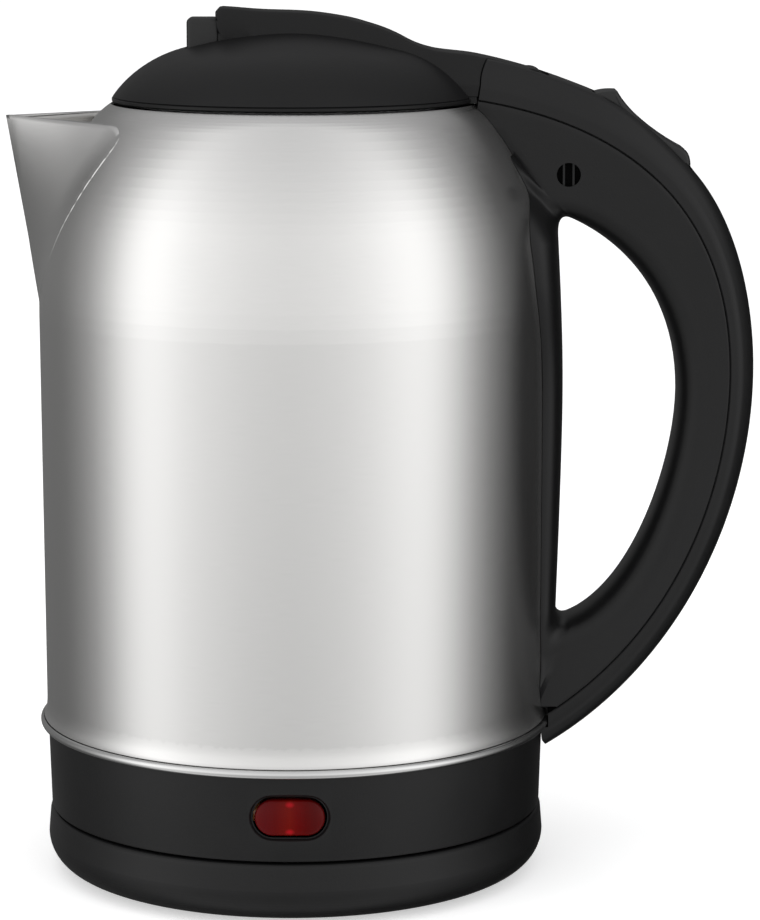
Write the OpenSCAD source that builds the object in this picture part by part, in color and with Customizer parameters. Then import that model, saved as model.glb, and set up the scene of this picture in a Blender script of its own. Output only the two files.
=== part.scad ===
// Cordless electric kettle: a brushed steel body on a black foot, with a hinged lid,
// a welded spout, a two-part loop handle and a separate power base.
// Millimetres, +Z up. The origin is on the table under the body's axis.
// +X points to the handle, -X to the spout and -Y to the indicator lens.

/* [Body] */
// Outside radius of the steel body at its widest
body_r = 75; // [68:0.5:92]
// Height of the steel body from its bead to its mouth
body_h = 181.4; // [150:0.2:220]
// Thickness of the steel wall
body_wall = 0.8; // [0.6:0.1:1.2]
// How much narrower the body is at its foot
body_taper = 1; // [0:0.1:2.5]

/* [Foot and power base] */
// Height of the black housing under the steel body
foot_h = 24.4; // [20:0.2:32]
// Height of the power base
base_h = 18.5; // [15:0.5:24]
// Wall thickness of the plastic covers
cover_wall = 2.2; // [1.6:0.1:3]
// Radius of the coupler tower on the power base
tower_r = 16.5; // [14:0.5:20]
// Height of the coupler tower above the power base
tower_h = 14.5; // [10:0.5:16]
// Radius of the bore that the supply cord goes through
cord_bore_r = 3.4; // [2.5:0.1:4.5]

/* [Indicator lens] */
// Length of the red lens
lens_l = 20.2; // [14:0.2:26]
// Height of the red lens
lens_h = 10.3; // [7:0.1:12]

/* [Handle] */
// How far the handle stands out from the body
grip_reach = 60.6; // [50:0.2:75]
// Half width of the grip
grip_half = 13.5; // [11:0.5:16]
// Thickness of the grip, from the finger gap to its back
grip_depth = 22.7; // [18:0.1:27]
// Wall thickness of the handle's two shells
grip_wall = 2.4; // [1.8:0.1:3.2]
// How far the hinge pin and the axle stop inside the handle's sides
pin_inset = 1.8; // [1:0.1:2.2]
// Radius of the steam vents in the handle's sides
vent_r = 3.5; // [2.5:0.1:4.5]

/* [Lid] */
// Height of the lid's dome above the mouth
dome_h = 21; // [15:0.2:24]
// Height of the crest's tip above the mouth
crest_h = 28; // [25:0.2:34]
// Radius of the hinge pin
pin_r = 1.5; // [1:0.1:2]
// Radius of the lid's hinge barrel
barrel_r = 4.5; // [3.8:0.1:4.8]
// Half width of the lid's tongue between the handle's ears
tongue_half = 9; // [6:0.2:10]

/* [Switch] */
// Half width of the rocker
rocker_half = 8; // [6:0.2:9.5]
// Radius of the rocker's axle
axle_r = 1.2; // [0.8:0.1:1.6]

/* [Fits] */
// Radial clearance of a pin that turns in a bore
run_clear = 0.05; // [0.02:0.01:0.1]
// Gap between pieces that move past each other
move_gap = 0.4; // [0.3:0.05:0.8]
// Gap between fixed pieces that lie against each other
fit_gap = 0.1; // [0.05:0.01:0.2]

/* [Hidden] */

BLACK = [0.09, 0.09, 0.095];
DARK = [0.16, 0.16, 0.17];
STEEL = [0.74, 0.73, 0.71];
BRASS = [0.78, 0.62, 0.3];
RUBBER = [0.2, 0.2, 0.2];
RED = [0.6, 0.05, 0.05];

$fn = 96;
big = 400;              // longer than the whole kettle, for cuts that run right through
eps = 0.01;             // overlap that joins two solids of one piece

// Heights, from the table up
foot_ring_h = 2;                            // rubber ring that the base stands on
plate_z = 1;                                // underside of the base's bottom plate
plate_t = 2;
seat_gap = 0.5;
foot_z = base_h + seat_gap;                 // lowest edge of the kettle
ring_z = foot_z + foot_h + fit_gap;         // underside of the steel bead
ring_t = 2.6;
body_z = ring_z + ring_t + fit_gap;         // lowest edge of the steel body
mouth_z = body_z + body_h;

// Radii that follow the body
low_r = body_r - body_taper;
foot_top_r = low_r - 0.3;
foot_low_r = low_r - 1.2;
ring_r = low_r + 2;
base_r = low_r - 0.1;
base_tuck = 7.7;                            // how far the base's side tucks in at the table
base_curve = 9.9;                           // height of that tuck

// The shoulder is three arcs, each tangent to the last: radius and end angle
sh_r = [145, 74, 20];
sh_a = [0, 9.5, 37.5, 58];
shoulder_h = sum3([for (i = [0:2]) sh_r[i] * (sin(sh_a[i + 1]) - sin(sh_a[i]))]);
shoulder_in = sum3([for (i = [0:2]) sh_r[i] * (cos(sh_a[i]) - cos(sh_a[i + 1]))]);
shoulder_z = mouth_z - shoulder_h;
mouth_r = body_r - shoulder_in;

// Mouth, collar and lid
throat_r = mouth_r - 5.4;
throat_flare = 1.2;                         // extra radius at the collar's top, for the lid's swing
collar_wall = 2.6;
collar_h = 10.4;
lip_gap = 0.5;                              // between the body's mouth and the lid's rim
seal_t = 1.6;
plug_r = throat_r - seal_t - move_gap;
plug_h = 8.4;                               // how far the lid's liner reaches down into the mouth
liner_t = 1.6;
lid_r = mouth_r - 0.3;
lid_z = mouth_z + lip_gap;
lid_wall = 2.2;

// Hinge: the pin lies across the handle's front
hinge = [body_r - 6, mouth_z + 5.94];
gap_r = 14.5;                               // radius of the ears' front faces about the pin
slot_half = tongue_half + move_gap - 0.1;

// Button and latch
button_x = -26;
button_l = 10;
button_half = 6;
button_top = 24.9;                          // above the mouth
button_travel = 3;
bolt_half = 5;
bolt_t = 2.6;
bolt_z = mouth_z - 4.6;                     // underside of the latch bolt
bolt_in = 1.2;                              // bolt's end to the throat
ramp_x = -24;

// Screws
screw_r = 1.5;
head_r = 2.9;
head_h = 1.6;
boss_r = 3.8;

// Coupler
slot_r = 8.6;                               // middle radius of the ring contact
blade_t = 1.2;
pin_contact_r = 2.2;
well_r = tower_r + 2.5;

// Heater
heater_r = 40;
tube_r = 3.4;
cold_pin_l = 8;
spreader_t = 2.6;
heat_z = body_z + 3.8;                      // underside of the heating plate
heat_t = 1;
control_top = heat_z - spreader_t - 0.3;
control_r = well_r + 9;

// Handle
wire_r = 0.9;
seam_lift = 8;                              // thickness of the cover over the frame at mid grip
mid_z = (ring_z + mouth_z) / 2 + 13;        // height where the handle stands out most
neck_angle = 21;                            // half angle of the handle's root on the shoulder
spine_angle = 13;                           // half angle of the spine lower down
spine_t = 3.9;                              // how far the spine stands off the body
steam_z = mouth_z - 21;
steam_r = 5;
axle = [body_r + 27, mouth_z - 13];
lens_z = foot_z + 12.8;

function sum3(v) = v[0] + v[1] + v[2];
function arc(c, r, a0, a1, n) = [for (i = [0:n]) let (a = a0 + (a1 - a0) * i / n) c + r * [cos(a), sin(a)]];
function bez(p, n) = [for (i = [0:n]) let (t = i / n, s = 1 - t)
    s * s * s * p[0] + 3 * s * s * t * p[1] + 3 * s * t * t * p[2] + t * t * t * p[3]];
function reversed(v) = [for (i = [len(v) - 1:-1:0]) v[i]];
function unit(v) = v / norm(v);
function tail(v) = [for (i = [1:len(v) - 1]) v[i]];
// An open line of points moved sideways by d, to its left
function shifted(v, d) = [for (i = [0:len(v) - 1])
    let (t = unit(v[min(i + 1, len(v) - 1)] - v[max(i - 1, 0)])) v[i] + d * [-t[1], t[0]]];

// A point near the mouth, and one near the foot, measured out from the body's side
function up(x, z) = [body_r + x, mouth_z + z];
function low(x, z) = [body_r + x, ring_z + z];

// The body's outline, moved out by d
function arc_c(i) = i == 0 ? [body_r - sh_r[0], shoulder_z]
    : arc_c(i - 1) + (sh_r[i - 1] - sh_r[i]) * [cos(sh_a[i]), sin(sh_a[i])];
function body_line(d) = concat(
    [[low_r + d, body_z + 1.6]],
    [for (i = [0:2]) each arc(arc_c(i), sh_r[i] + d, sh_a[i], sh_a[i + 1], i == 1 ? 12 : 6)]);

// Handle outlines, in X and Z
back_top = bez([up(-21, 14), up(-12, 13.6), up(1, 8.2), up(11.5, 4.1)], 12);
back_mid = [up(41.2, -18.4)];
back_out = bez([up(42.4, -20), up(grip_reach - 5.3, -34.6),
    [body_r + grip_reach, mid_z + 20.8], [body_r + grip_reach, mid_z]], 12);
back_low = bez([[body_r + grip_reach, mid_z], [body_r + grip_reach, mid_z - 44.3],
    low(grip_reach - 22.6, 15), low(-1.1, -7.5)], 16);
back = concat(back_top, back_mid, back_out, tail(back_low));
seam_x = body_r + grip_reach - seam_lift;
seam = concat(
    bez([up(-21, 1.2), up(22.9, -5.4), [seam_x, mid_z + 48.7], [seam_x, mid_z]], 24),
    tail(bez([[seam_x, mid_z], [seam_x, mid_z - 35.6], low(grip_reach - 24.1, 25.3), low(-5, 1)], 16)));
in_x = body_r + grip_reach - grip_depth;
gap_top = mouth_z - 33.6;
gap_low = ring_z + 32.5;
fingers = concat(
    bez([[body_r + spine_t + 2.3, gap_top], [in_x - 10.5, gap_top - 9.7],
        [in_x, mid_z + 16.3], [in_x, mid_z - 6]], 14),
    tail(bez([[in_x, mid_z - 6], [in_x, mid_z - 26.3],
        [in_x - 11.1, gap_low + 9.8], [body_r + spine_t + 3.4, gap_low]], 14)),
    arc([body_r + spine_t + 2, gap_low + 3], 2.2, 260, 180, 4),
    arc([body_r + spine_t + 1, gap_top - 3.2], 3, 170, 95, 5));

module side(points, half) {
    rotate([90, 0, 0]) translate([0, 0, -half]) linear_extrude(2 * half) polygon(points);
}

module y_cyl(at, r, half) {
    translate([at[0], 0, at[1]]) rotate([90, 0, 0]) cylinder(r = r, h = 2 * half, center = true);
}

module ring_of(r_in, r_out, h) {
    difference() {
        cylinder(r = r_out, h = h);
        translate([0, 0, -1]) cylinder(r = r_in, h = h + 2);
    }
}

module body_solid(d) {
    rotate_extrude($fn = 128) polygon(concat([[0, body_z - 5], [low_r + d, body_z - 5]],
        body_line(d), [[mouth_r + d, mouth_z + 0.3], [0, mouth_z + 0.3]]));
}

module around(n, r, first = 0) {
    for (i = [0:n - 1]) rotate([0, 0, first + i * 360 / n]) translate([r, 0, 0]) children();
}

// A countersunk-height screw, head down, shank up
module screw(l) {
    difference() {
        cylinder(r = head_r, h = head_h);
        translate([-head_r, -0.35, -1]) cube([2 * head_r, 0.7, 1.6]);
    }
    translate([0, 0, head_h - eps]) cylinder(r = screw_r, h = l);
}

module stadium(l, h) {
    square([l - h, h], center = true);
    for (s = [-1, 1]) translate([s * (l - h) / 2, 0]) circle(d = h);
}

// A stadium on the foot's camera side, run along Y from y0 to y1
module lens_run(l, h, y0, y1) {
    translate([0, y1, lens_z]) rotate([90, 0, 0]) linear_extrude(y1 - y0) stadium(l, h);
}

// ---------------------------------------------------------------- power base

base_side = reversed([for (i = [0:14]) let (a = i * 77 / 14)
    [base_r - base_curve + base_curve * cos(a), base_curve + 0.8 - base_curve * sin(a)]]);
base_open_r = base_r - base_tuck - 0.7;
base_screw_at = base_r - 22;

module base_foot_ring() {
    color(RUBBER) ring_of(base_open_r - 9, base_open_r - 4, foot_ring_h);
}

module base_bottom_plate() {
    color(BLACK) difference() {
        translate([0, 0, plate_z]) cylinder(r = base_open_r - fit_gap, h = plate_t);
        translate([0, 0, -1]) ring_of(base_open_r - 9 - fit_gap, base_open_r - 4 + fit_gap,
            foot_ring_h + 1 + fit_gap);
        around(3, base_screw_at, 30) {
            cylinder(r = head_r + fit_gap, h = plate_z + head_h - 0.4);
            cylinder(r = screw_r + fit_gap, h = 10);
        }
    }
}

module base_top_cover() {
    color(BLACK) {
        difference() {
            rotate_extrude() polygon(concat([[0, 0.8]], base_side,
                arc([base_r - 2, base_h - 1.5], 1.5, 0, 90, 5), [[0, base_h]]));
            rotate_extrude() polygon(concat([[0, -1], [base_open_r, -1]],
                [[base_open_r, plate_z + plate_t + 0.2]],
                [for (p = base_side) if (p[1] > plate_z + plate_t + 2.2) p - [cover_wall, 0]],
                [[base_r - 0.5 - cover_wall, base_h - cover_wall], [0, base_h - cover_wall]]));
            cylinder(r = tower_r + fit_gap, h = big);
            translate([0, base_r, plate_z + plate_t + 5.5]) rotate([90, 0, 0])
                cylinder(r = cord_bore_r + 2 + fit_gap, h = 30, center = true);
        }
        difference() {
            around(3, base_screw_at, 30) translate([0, 0, plate_z + plate_t])
                cylinder(r = boss_r, h = base_h - cover_wall - plate_z - plate_t + eps);
            around(3, base_screw_at, 30) cylinder(r = screw_r + run_clear, h = base_h - 4);
        }
    }
}

module base_screws() {
    color(STEEL) around(3, base_screw_at, 30) translate([0, 0, plate_z - 0.4]) screw(9);
}

module base_coupler() {
    top = base_h + tower_h;
    color(DARK) difference() {
        union() {
            translate([0, 0, plate_z + plate_t]) cylinder(r = tower_r, h = top - plate_z - plate_t);
            translate([0, 0, base_h - cover_wall - 2.5]) cylinder(r = tower_r + 5, h = 2.5 - fit_gap);
        }
        translate([0, 0, base_h]) ring_of(slot_r - 1.8, slot_r + 1.8, tower_h + 1);
        translate([0, 0, base_h]) cylinder(r = pin_contact_r + 0.9, h = tower_h + 1);
    }
}

module base_contacts() {
    color(BRASS) {
        translate([0, 0, base_h + eps]) ring_of(slot_r - 1.2, slot_r + 1.2, 4);
        translate([0, 0, base_h + eps]) ring_of(1, pin_contact_r + 0.5, 4);
    }
}

module cord_bush() {
    color(BLACK) translate([0, base_r + 4, plate_z + plate_t + 5.5]) rotate([90, 0, 0]) difference() {
        union() {
            cylinder(r = cord_bore_r + 2, h = 14);
            translate([0, 0, 9]) cylinder(r = cord_bore_r + 2 - eps, h = 3);
        }
        translate([0, 0, -1]) cylinder(r = cord_bore_r, h = 20);
    }
}

// ---------------------------------------------------------------- kettle foot

foot_screw_at = foot_low_r - 8;
foot_cover_t = 3;
foot_screw_z = foot_z + 0.2;                // heads sit just inside the cover

module bottom_housing() {
    color(BLACK) difference() {
        union() {
            rotate_extrude() polygon([[foot_low_r - cover_wall, foot_z], [foot_low_r - 0.8, foot_z],
                [foot_low_r, foot_z + 0.8], [foot_top_r, foot_z + foot_h],
                [foot_top_r - cover_wall, foot_z + foot_h]]);
            // Screw bosses, each on a rib from the wall
            around(3, foot_screw_at, 90) translate([0, 0, foot_z + foot_cover_t + fit_gap]) {
                cylinder(r = boss_r, h = foot_h - 8);
                translate([boss_r - 1, -1, 0]) cube([foot_low_r - foot_screw_at - boss_r, 2, foot_h - 8]);
            }
        }
        around(3, foot_screw_at, 90) cylinder(r = screw_r + run_clear, h = foot_screw_z + 13);
        lens_run(lens_l + 3.1, lens_h + 1.7, -big, -(foot_low_r + foot_top_r) / 2 + 0.9);
        lens_run(lens_l + 0.6, lens_h + 0.6, -big, 0);
    }
}

module bottom_cover() {
    color(BLACK) difference() {
        union() {
            translate([0, 0, foot_z]) cylinder(r = foot_low_r - cover_wall - fit_gap, h = foot_cover_t);
            translate([0, 0, foot_z]) cylinder(r = well_r + 2, h = tower_h + 1);
        }
        translate([0, 0, foot_z - 1]) cylinder(r = well_r, h = tower_h + 4);
        around(3, foot_screw_at, 90) {
            cylinder(r = head_r + fit_gap, h = foot_screw_z + head_h);
            cylinder(r = screw_r + fit_gap, h = big);
        }
    }
}

module bottom_screws() {
    color(STEEL) around(3, foot_screw_at, 90) translate([0, 0, foot_screw_z]) screw(10);
}

control_z = foot_z + tower_h + 1 + fit_gap;

module control_unit() {
    color(DARK) difference() {
        union() {
            translate([0, 0, control_z]) cylinder(r = control_r, h = 2);
            translate([-15, -14, control_z + 2 - eps])
                cube([30, 28, control_top - control_z - 2 + eps]);
        }
        translate([0, 0, control_z - 1]) ring_of(slot_r - blade_t / 2 - eps, slot_r + blade_t / 2 + eps, 3);
        translate([0, 0, control_z - 1]) cylinder(r = pin_contact_r + eps, h = 3);
        around(2, control_r - 4, 90) cylinder(r = screw_r + fit_gap, h = big);
    }
}

module control_screws() {
    color(STEEL) around(2, control_r - 4, 90) translate([0, 0, control_z - head_h])
        screw(heat_z - 0.6 - control_z);
}

module kettle_contacts() {
    reach = tower_h - 4.5;
    color(BRASS) {
        translate([0, 0, control_z - reach]) ring_of(slot_r - blade_t / 2, slot_r + blade_t / 2, reach + 1.9);
        translate([0, 0, control_z - reach]) cylinder(r = pin_contact_r, h = reach + 1.9);
    }
}

module indicator_lens() {
    inner_y = -(foot_low_r - cover_wall - 1.4);
    color(RED) intersection() {
        union() {
            lens_run(lens_l, lens_h, -big, inner_y + 1);
            lens_run(lens_l + 3, lens_h + 2.4, inner_y, inner_y + 1.4);
        }
        cylinder(r = foot_top_r - 0.1, h = big);
    }
}

module indicator_lamp() {
    lamp_y = -(foot_low_r - cover_wall - 6.5);
    color([0.9, 0.5, 0.3]) translate([-7, lamp_y, lens_z]) rotate([0, 90, 0]) {
        cylinder(r = 2.4, h = 12);
        translate([0, 0, 12]) sphere(r = 2.4);
        translate([0, 0, -5]) cylinder(r = 3, h = 5 + eps);
    }
}

module trim_ring() {
    color(STEEL) rotate_extrude() union() {
        translate([ring_r - ring_t / 2, ring_z + ring_t / 2]) circle(d = ring_t, $fn = 32);
        translate([foot_top_r - cover_wall, ring_z + 0.5])
            square([ring_r - ring_t / 2 - foot_top_r + cover_wall, 1.6]);
    }
}

module heating_plate() {
    color(STEEL) translate([0, 0, heat_z]) cylinder(r = low_r - body_wall - fit_gap, h = heat_t);
}

module heat_spreader() {
    color([0.8, 0.8, 0.82]) difference() {
        translate([0, 0, heat_z - spreader_t]) cylinder(r = heater_r + 10, h = spreader_t - eps);
        around(2, control_r - 4, 90) cylinder(r = screw_r + run_clear, h = big);
    }
}

module heating_element() {
    element_z = heat_z - spreader_t - tube_r - eps;
    color([0.45, 0.45, 0.45]) {
        rotate([0, 0, 30]) rotate_extrude(angle = 300) translate([heater_r, element_z])
            circle(r = tube_r, $fn = 32);
        for (a = [31, 329]) rotate([0, 0, a]) translate([heater_r, 0, element_z - cold_pin_l])
            cylinder(r = 1.6, h = cold_pin_l);
    }
}

// ---------------------------------------------------------------- steel body and spout

module body_shell() {
    color(STEEL) difference() {
        rotate_extrude($fn = 128) polygon(concat(
            [[low_r - body_wall - 0.6, body_z], [low_r - 0.6, body_z], [low_r - 0.6, body_z + 0.9]],
            body_line(0), reversed(body_line(-body_wall)), [[low_r - body_wall - 0.6, body_z + 1]]));
        spout_window();
        translate([body_r - 40, 0, steam_z]) rotate([0, 90, 0]) cylinder(r = steam_r, h = 60);
        handle_fixings(body_r - 7) cylinder(r = screw_r + fit_gap, h = 30, center = true);
    }
}

// The opening in the body behind the spout: a triangle, point down
module spout_window() {
    top = mouth_z - 15;
    rotate([90, 0, -90]) translate([0, 0, body_r - 40]) linear_extrude(60)
        polygon([[0, spout_low_z + 6], [27, top], [-27, top]]);
}

spout_reach = 9.7;                          // how far the spout's tip stands out from the body
spout_low_z = mouth_z - 60;                 // where its keel meets the body
rim_z = mouth_z - 6.3;                      // its rim at the body
rim_rise = 2.6;                             // how much higher its tip is

// Seam on the body as height above the keel's foot and half width; the keel is straight
spout_seam = [[9.5, 18.5], [25, 28.5], [39, 35], [53.5, 36.5]];

module spout_form(d) {
    tip = [-(body_r + spout_reach) + 1, rim_z + rim_rise];
    foot = [-(body_r - 0.6), spout_low_z];
    over = tip + 0.25 * (tip - foot);
    hull() {
        translate([foot[0], 0, foot[1]]) sphere(r = 1 + d, $fn = 12);
        translate([over[0], 0, over[1]]) sphere(r = 1 + d, $fn = 12);
        for (s = [-1, 1], p = concat(spout_seam, [[68, 37]]))
            translate([-sqrt(pow(spout_r(p[0]) - 1, 2) - p[1] * p[1]), s * p[1], spout_low_z + p[0]])
                sphere(r = 1 + d, $fn = 12);
    }
}

// Radius of the body at a height above the keel's foot
function spout_r(h) = let (z = spout_low_z + h - arc_c(1)[1])
    z > 45 ? sqrt(sh_r[1] * sh_r[1] - 45 * 45) + arc_c(1)[0] : z < 10 ? body_r - 1
    : sqrt(sh_r[1] * sh_r[1] - z * z) + arc_c(1)[0];

module spout() {
    slope = atan(rim_rise / (body_r + spout_reach - 49));
    color(STEEL) difference() {
        spout_form(0);
        spout_form(-body_wall);
        body_solid(0.05);
        translate([-body_r + 26, -big / 2, rim_z]) rotate([0, slope, 0])
            translate([-big, 0, 0]) cube([2 * big, big, big]);
    }
}

filter_t = 1.4;
filter_l = 45;
filter_half = 21;
filter_lean = 20;
filter_rows = 10;
filter_pitch = 3.8;

module spout_filter() {
    color(DARK) translate([-(throat_r + collar_wall), 0, mouth_z - collar_h - fit_gap])
        rotate([0, filter_lean, 0]) difference() {
            translate([-filter_t, -filter_half, -filter_l])
                cube([filter_t, 2 * filter_half, filter_l - 1.5]);
            for (i = [0:filter_rows - 1], s = [-1, 1])
                translate([-3, s * (filter_half / 2) - 8, -filter_l + 4 + i * filter_pitch])
                    cube([6, 16, filter_pitch - 2]);
        }
}

module neck_collar() {
    top = mouth_z - 0.2;
    color(BLACK) rotate_extrude() polygon([[throat_r, mouth_z - collar_h],
        [throat_r + collar_wall, mouth_z - collar_h], [throat_r + collar_wall, mouth_z - 4],
        [mouth_r - 1.7, mouth_z - 2.2], [mouth_r - 1.7, top],
        [throat_r + throat_flare, top], [throat_r, mouth_z - collar_h + 4.6]]);
}

// ---------------------------------------------------------------- handle

// The handle's root and spine lie on the body; this is the body side of its outline
root_x = body_r - 30;

module sector(half_angle, r, z0, z1) {
    rotate([0, 0, -half_angle]) rotate_extrude(angle = 2 * half_angle, $fn = 128)
        polygon([[20, z0], [r, z0], [r, z1], [20, z1]]);
}

// Side walls of the root draw in from the shoulder to the grip
module root_plan(d) {
    wide = (body_r - 11) * tan(neck_angle);
    linear_extrude(big) polygon([[root_x, wide - d], [body_r - 11, wide - d], [body_r + 22, grip_half - d],
        [body_r + 80, grip_half - d], [body_r + 80, d - grip_half], [body_r + 22, d - grip_half],
        [body_r - 11, d - wide], [root_x, d - wide]]);
}

module handle_frame() {
    inner = concat(seam, [[root_x, ring_z + 1], [root_x, mouth_z + 1.2]]);
    color(BLACK) difference() {
        union() {
            difference() {
                intersection() {
                    side(inner, 40);
                    root_plan(0);
                }
                cylinder(r = body_r + spine_t - 0.6, h = gap_top + 6);
                side(fingers, 60);
            }
            intersection() {
                side(concat([for (p = seam) if (p[0] < body_r + spine_t + 6) p],
                    [[root_x, ring_z + 4], [root_x, mouth_z + 1.2]]), 40);
                sector(spine_angle, body_r + spine_t, ring_z + 4, gap_top + 8);
            }
        }
        body_solid(0.15);
        cylinder(r = ring_r + fit_gap + 0.2, h = body_z + 1);
        hinge_slot();
        frame_cavity();
        vents();
        translate([body_r - 30, 0, steam_z]) rotate([0, 90, 0]) cylinder(r = steam_r + 2.6, h = 32);
        translate([body_r - 5, -4, ring_z + 14]) cube([7.5, 8, steam_z - ring_z - 10]);
        handle_fixings(body_r - 7) cylinder(r = screw_r + run_clear, h = 20, center = true);
        y_cyl(axle, axle_r + 4, grip_half - grip_wall);
        y_cyl(axle, axle_r + run_clear, grip_half - pin_inset + fit_gap);
    }
}

// The hollow of the frame, open towards the cover
module frame_cavity() {
    around_gap = [for (p = shifted(fingers, grip_wall)) if (p[0] > body_r + 8) p];
    rim = [for (p = reversed(seam)) if (p[0] > body_r + 3) p + [0.6, 0.6]];
    side(concat([[body_r + 1, mouth_z - 31], [body_r + 4, mouth_z - 33]], around_gap, rim,
        [[body_r + 1, mouth_z - 2]]), grip_half - grip_wall);
}

module handle_cover() {
    color(BLACK) difference() {
        side(concat(back, reversed(shifted(seam, fit_gap))), grip_half);
        side(concat([for (p = shifted(back, -grip_wall)) if (p[0] > body_r + 4 && p[1] > ring_z + 6) p],
            [for (p = reversed(seam)) if (p[0] > body_r + 4) p - [1, 1]]), grip_half - grip_wall);
        body_solid(0.15);
        cylinder(r = ring_r + fit_gap + 0.2, h = body_z + 1);
        hinge_slot();
        y_cyl(hinge, pin_r + run_clear, grip_half - pin_inset + fit_gap);
        rocker_pocket();
        y_cyl(axle, axle_r + run_clear, grip_half - pin_inset + fit_gap);
    }
}

// Room for the lid's tongue and barrel, and the ears' front faces
module hinge_slot() {
    back_x = hinge[0] + barrel_r + 1;
    side([[root_x, mouth_z + 1.7], hinge - [0, 4.3], [back_x, hinge[1]], [back_x, mouth_z + 30],
        [root_x, mouth_z + 30]], slot_half);
    y_cyl(hinge, barrel_r + move_gap, slot_half);
    front_x = hinge[0] - gap_r;
    difference() {
        side([[root_x, mouth_z - 5], [front_x - 1.5, mouth_z - 5], [front_x - 0.9, mouth_z],
            [front_x, hinge[1]], [hinge[0] - 4, hinge[1] + 0.1], [hinge[0] - 4, mouth_z + 30],
            [root_x, mouth_z + 30]], 40);
        y_cyl(hinge, gap_r, 50);
    }
}

rocker_ends = [up(12, 3.7), up(41.3, -18.2)];

module rocker_pocket() {
    side([rocker_ends[0] + [0, 8], rocker_ends[0] - [0, 12], rocker_ends[1] - [5, 9.5],
        rocker_ends[1] + [0.4, 0], rocker_ends[1] + [6, 10]], rocker_half + move_gap);
}

// A round vent of three slots, on both sides of the root
module vents() {
    bar = 0.7;
    vent_x = body_r + 5.7;
    for (s = [-1, 1]) translate([vent_x, s * (grip_half + 3), steam_z + 0.4]) difference() {
        rotate([90, 0, 0]) cylinder(r = vent_r, h = 16, center = true);
        for (x = [-1, 1]) translate([x * vent_r * 0.4 - bar / 2, -9, -vent_r - 1])
            cube([bar, 18, 2 * vent_r + 2]);
    }
}

// Two screws go through the body's wall into the handle's root, either side of the steam hole
fixing_angle = 9;
fixing_z = steam_z + 4;

module handle_fixings(x) {
    for (a = [-fixing_angle, fixing_angle]) rotate([0, 0, a]) translate([x, 0, fixing_z])
        rotate([0, 90, 0]) children();
}

module handle_screws() {
    color(STEEL) handle_fixings(mouth_r + 7.4) screw(9);
}

module steam_seal() {
    color(RUBBER) difference() {
        translate([body_r - 14, 0, steam_z]) rotate([0, 90, 0]) cylinder(r = steam_r + 2.5, h = 14);
        translate([body_r - 20, 0, steam_z]) rotate([0, 90, 0]) cylinder(r = steam_r, h = 24);
        body_solid(0.1);
    }
}

module steam_switch() {
    half = grip_half - grip_wall - 1.5;
    color(DARK) difference() {
        translate([body_r + 6, -half, steam_z - 7]) cube([17, 2 * half, 15]);
        translate([body_r + 5, 0, steam_z]) rotate([0, 90, 0]) cylinder(r = 7, h = 5);
        y_cyl([body_r + 12, steam_z - 4], 1.5, 20);
    }
}

module bimetal_disc() {
    color(BRASS) translate([body_r + 7, 0, steam_z]) rotate([0, 90, 0]) cylinder(r = 6.6, h = 0.6);
}

// Two leads up the spine, from the control to the steam switch
module handle_wires() {
    rise = steam_z - 5 - ring_z - 15;
    color([0.7, 0.7, 0.72]) for (y = [-1.6, 1.6]) translate([body_r + 1.35, y, ring_z + 15]) {
        cylinder(r = wire_r, h = rise, $fn = 16);
        translate([0, 0, rise]) sphere(r = wire_r, $fn = 16);
        translate([0, 0, rise]) rotate([0, 90, 0]) cylinder(r = wire_r, h = 4.5, $fn = 16);
    }
}

module hinge_pin() {
    color(STEEL) y_cyl(hinge, pin_r, grip_half - pin_inset);
}

// Four turns of a torsion spring round the pin, in a gap of the barrel
module hinge_spring() {
    color(STEEL) translate([hinge[0], 0, hinge[1]]) rotate([90, 0, 0]) for (i = [-1.5:1:1.5])
        translate([0, 0, i]) rotate_extrude() translate([pin_r + 0.9, 0]) circle(r = 0.45, $fn = 16);
}

module rocker_axle() {
    color(STEEL) y_cyl(axle, axle_r, grip_half - pin_inset);
}

module switch_rocker() {
    dish = bez([rocker_ends[0] + [7.4, 0], rocker_ends[0] + [11, -6.5], rocker_ends[1] + [-9, 8.5],
        rocker_ends[1] + [-1.8, 4.2]], 8);
    color(DARK) difference() {
        union() {
            side(concat([rocker_ends[0] + [0.6, -4.5], rocker_ends[0] + [0.6, -0.4]],
                [rocker_ends[0] + [5, 0.2]], dish, [rocker_ends[1] + [-0.6, 3.2]],
                [rocker_ends[1] + [-0.4, -0.2], rocker_ends[1] + [-6, -1.5]],
                [axle + [3, -1], axle + [-3, -1]]), rocker_half);
            y_cyl(axle, axle_r + 2, rocker_half);
        }
        y_cyl(axle, axle_r + run_clear, 30);
    }
}

// ---------------------------------------------------------------- lid

// Outline of the dome from rim to axis, moved in by d
function dome_line(d) = concat([[lid_r - d, lid_z], [lid_r - d, lid_z + 1.6]],
    bez([[lid_r - d, lid_z + 1.6], [lid_r - 0.2 - d, lid_z + 5.6],
        [lid_r - 15.9 - 0.7 * d, mouth_z + dome_h - 4 - d], [lid_r - 22.3, mouth_z + dome_h - 5.4 - d]], 10),
    [[10, mouth_z + dome_h - 0.6 - d], [0, mouth_z + dome_h - d]]);

crest_half = 9;
crest_front = -21;
crest_line = concat([[crest_front + 1.2, mouth_z + 10], [crest_front + 1.4, mouth_z + 17]],
    [[crest_front, mouth_z + crest_h - 2]],
    arc([crest_front + 0.6, mouth_z + crest_h - 1.2], 1.2, 150, 90, 3),
    bez([[crest_front + 2, mouth_z + crest_h], [8, mouth_z + crest_h - 0.4], [22, mouth_z + crest_h - 3.1],
        up(-39, 17.6)], 10), [up(-34, 16)]);
// The tongue runs on from the crest, over the hinge
tongue_line = concat([up(-34, 16)], bez([up(-34, 16), up(-22, 14.9), up(-14, 13.2), up(-8.6, 11.2)], 6));

module dome_solid() {
    rotate_extrude($fn = 128) polygon(concat([[0, lid_z]], dome_line(0)));
}

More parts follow.
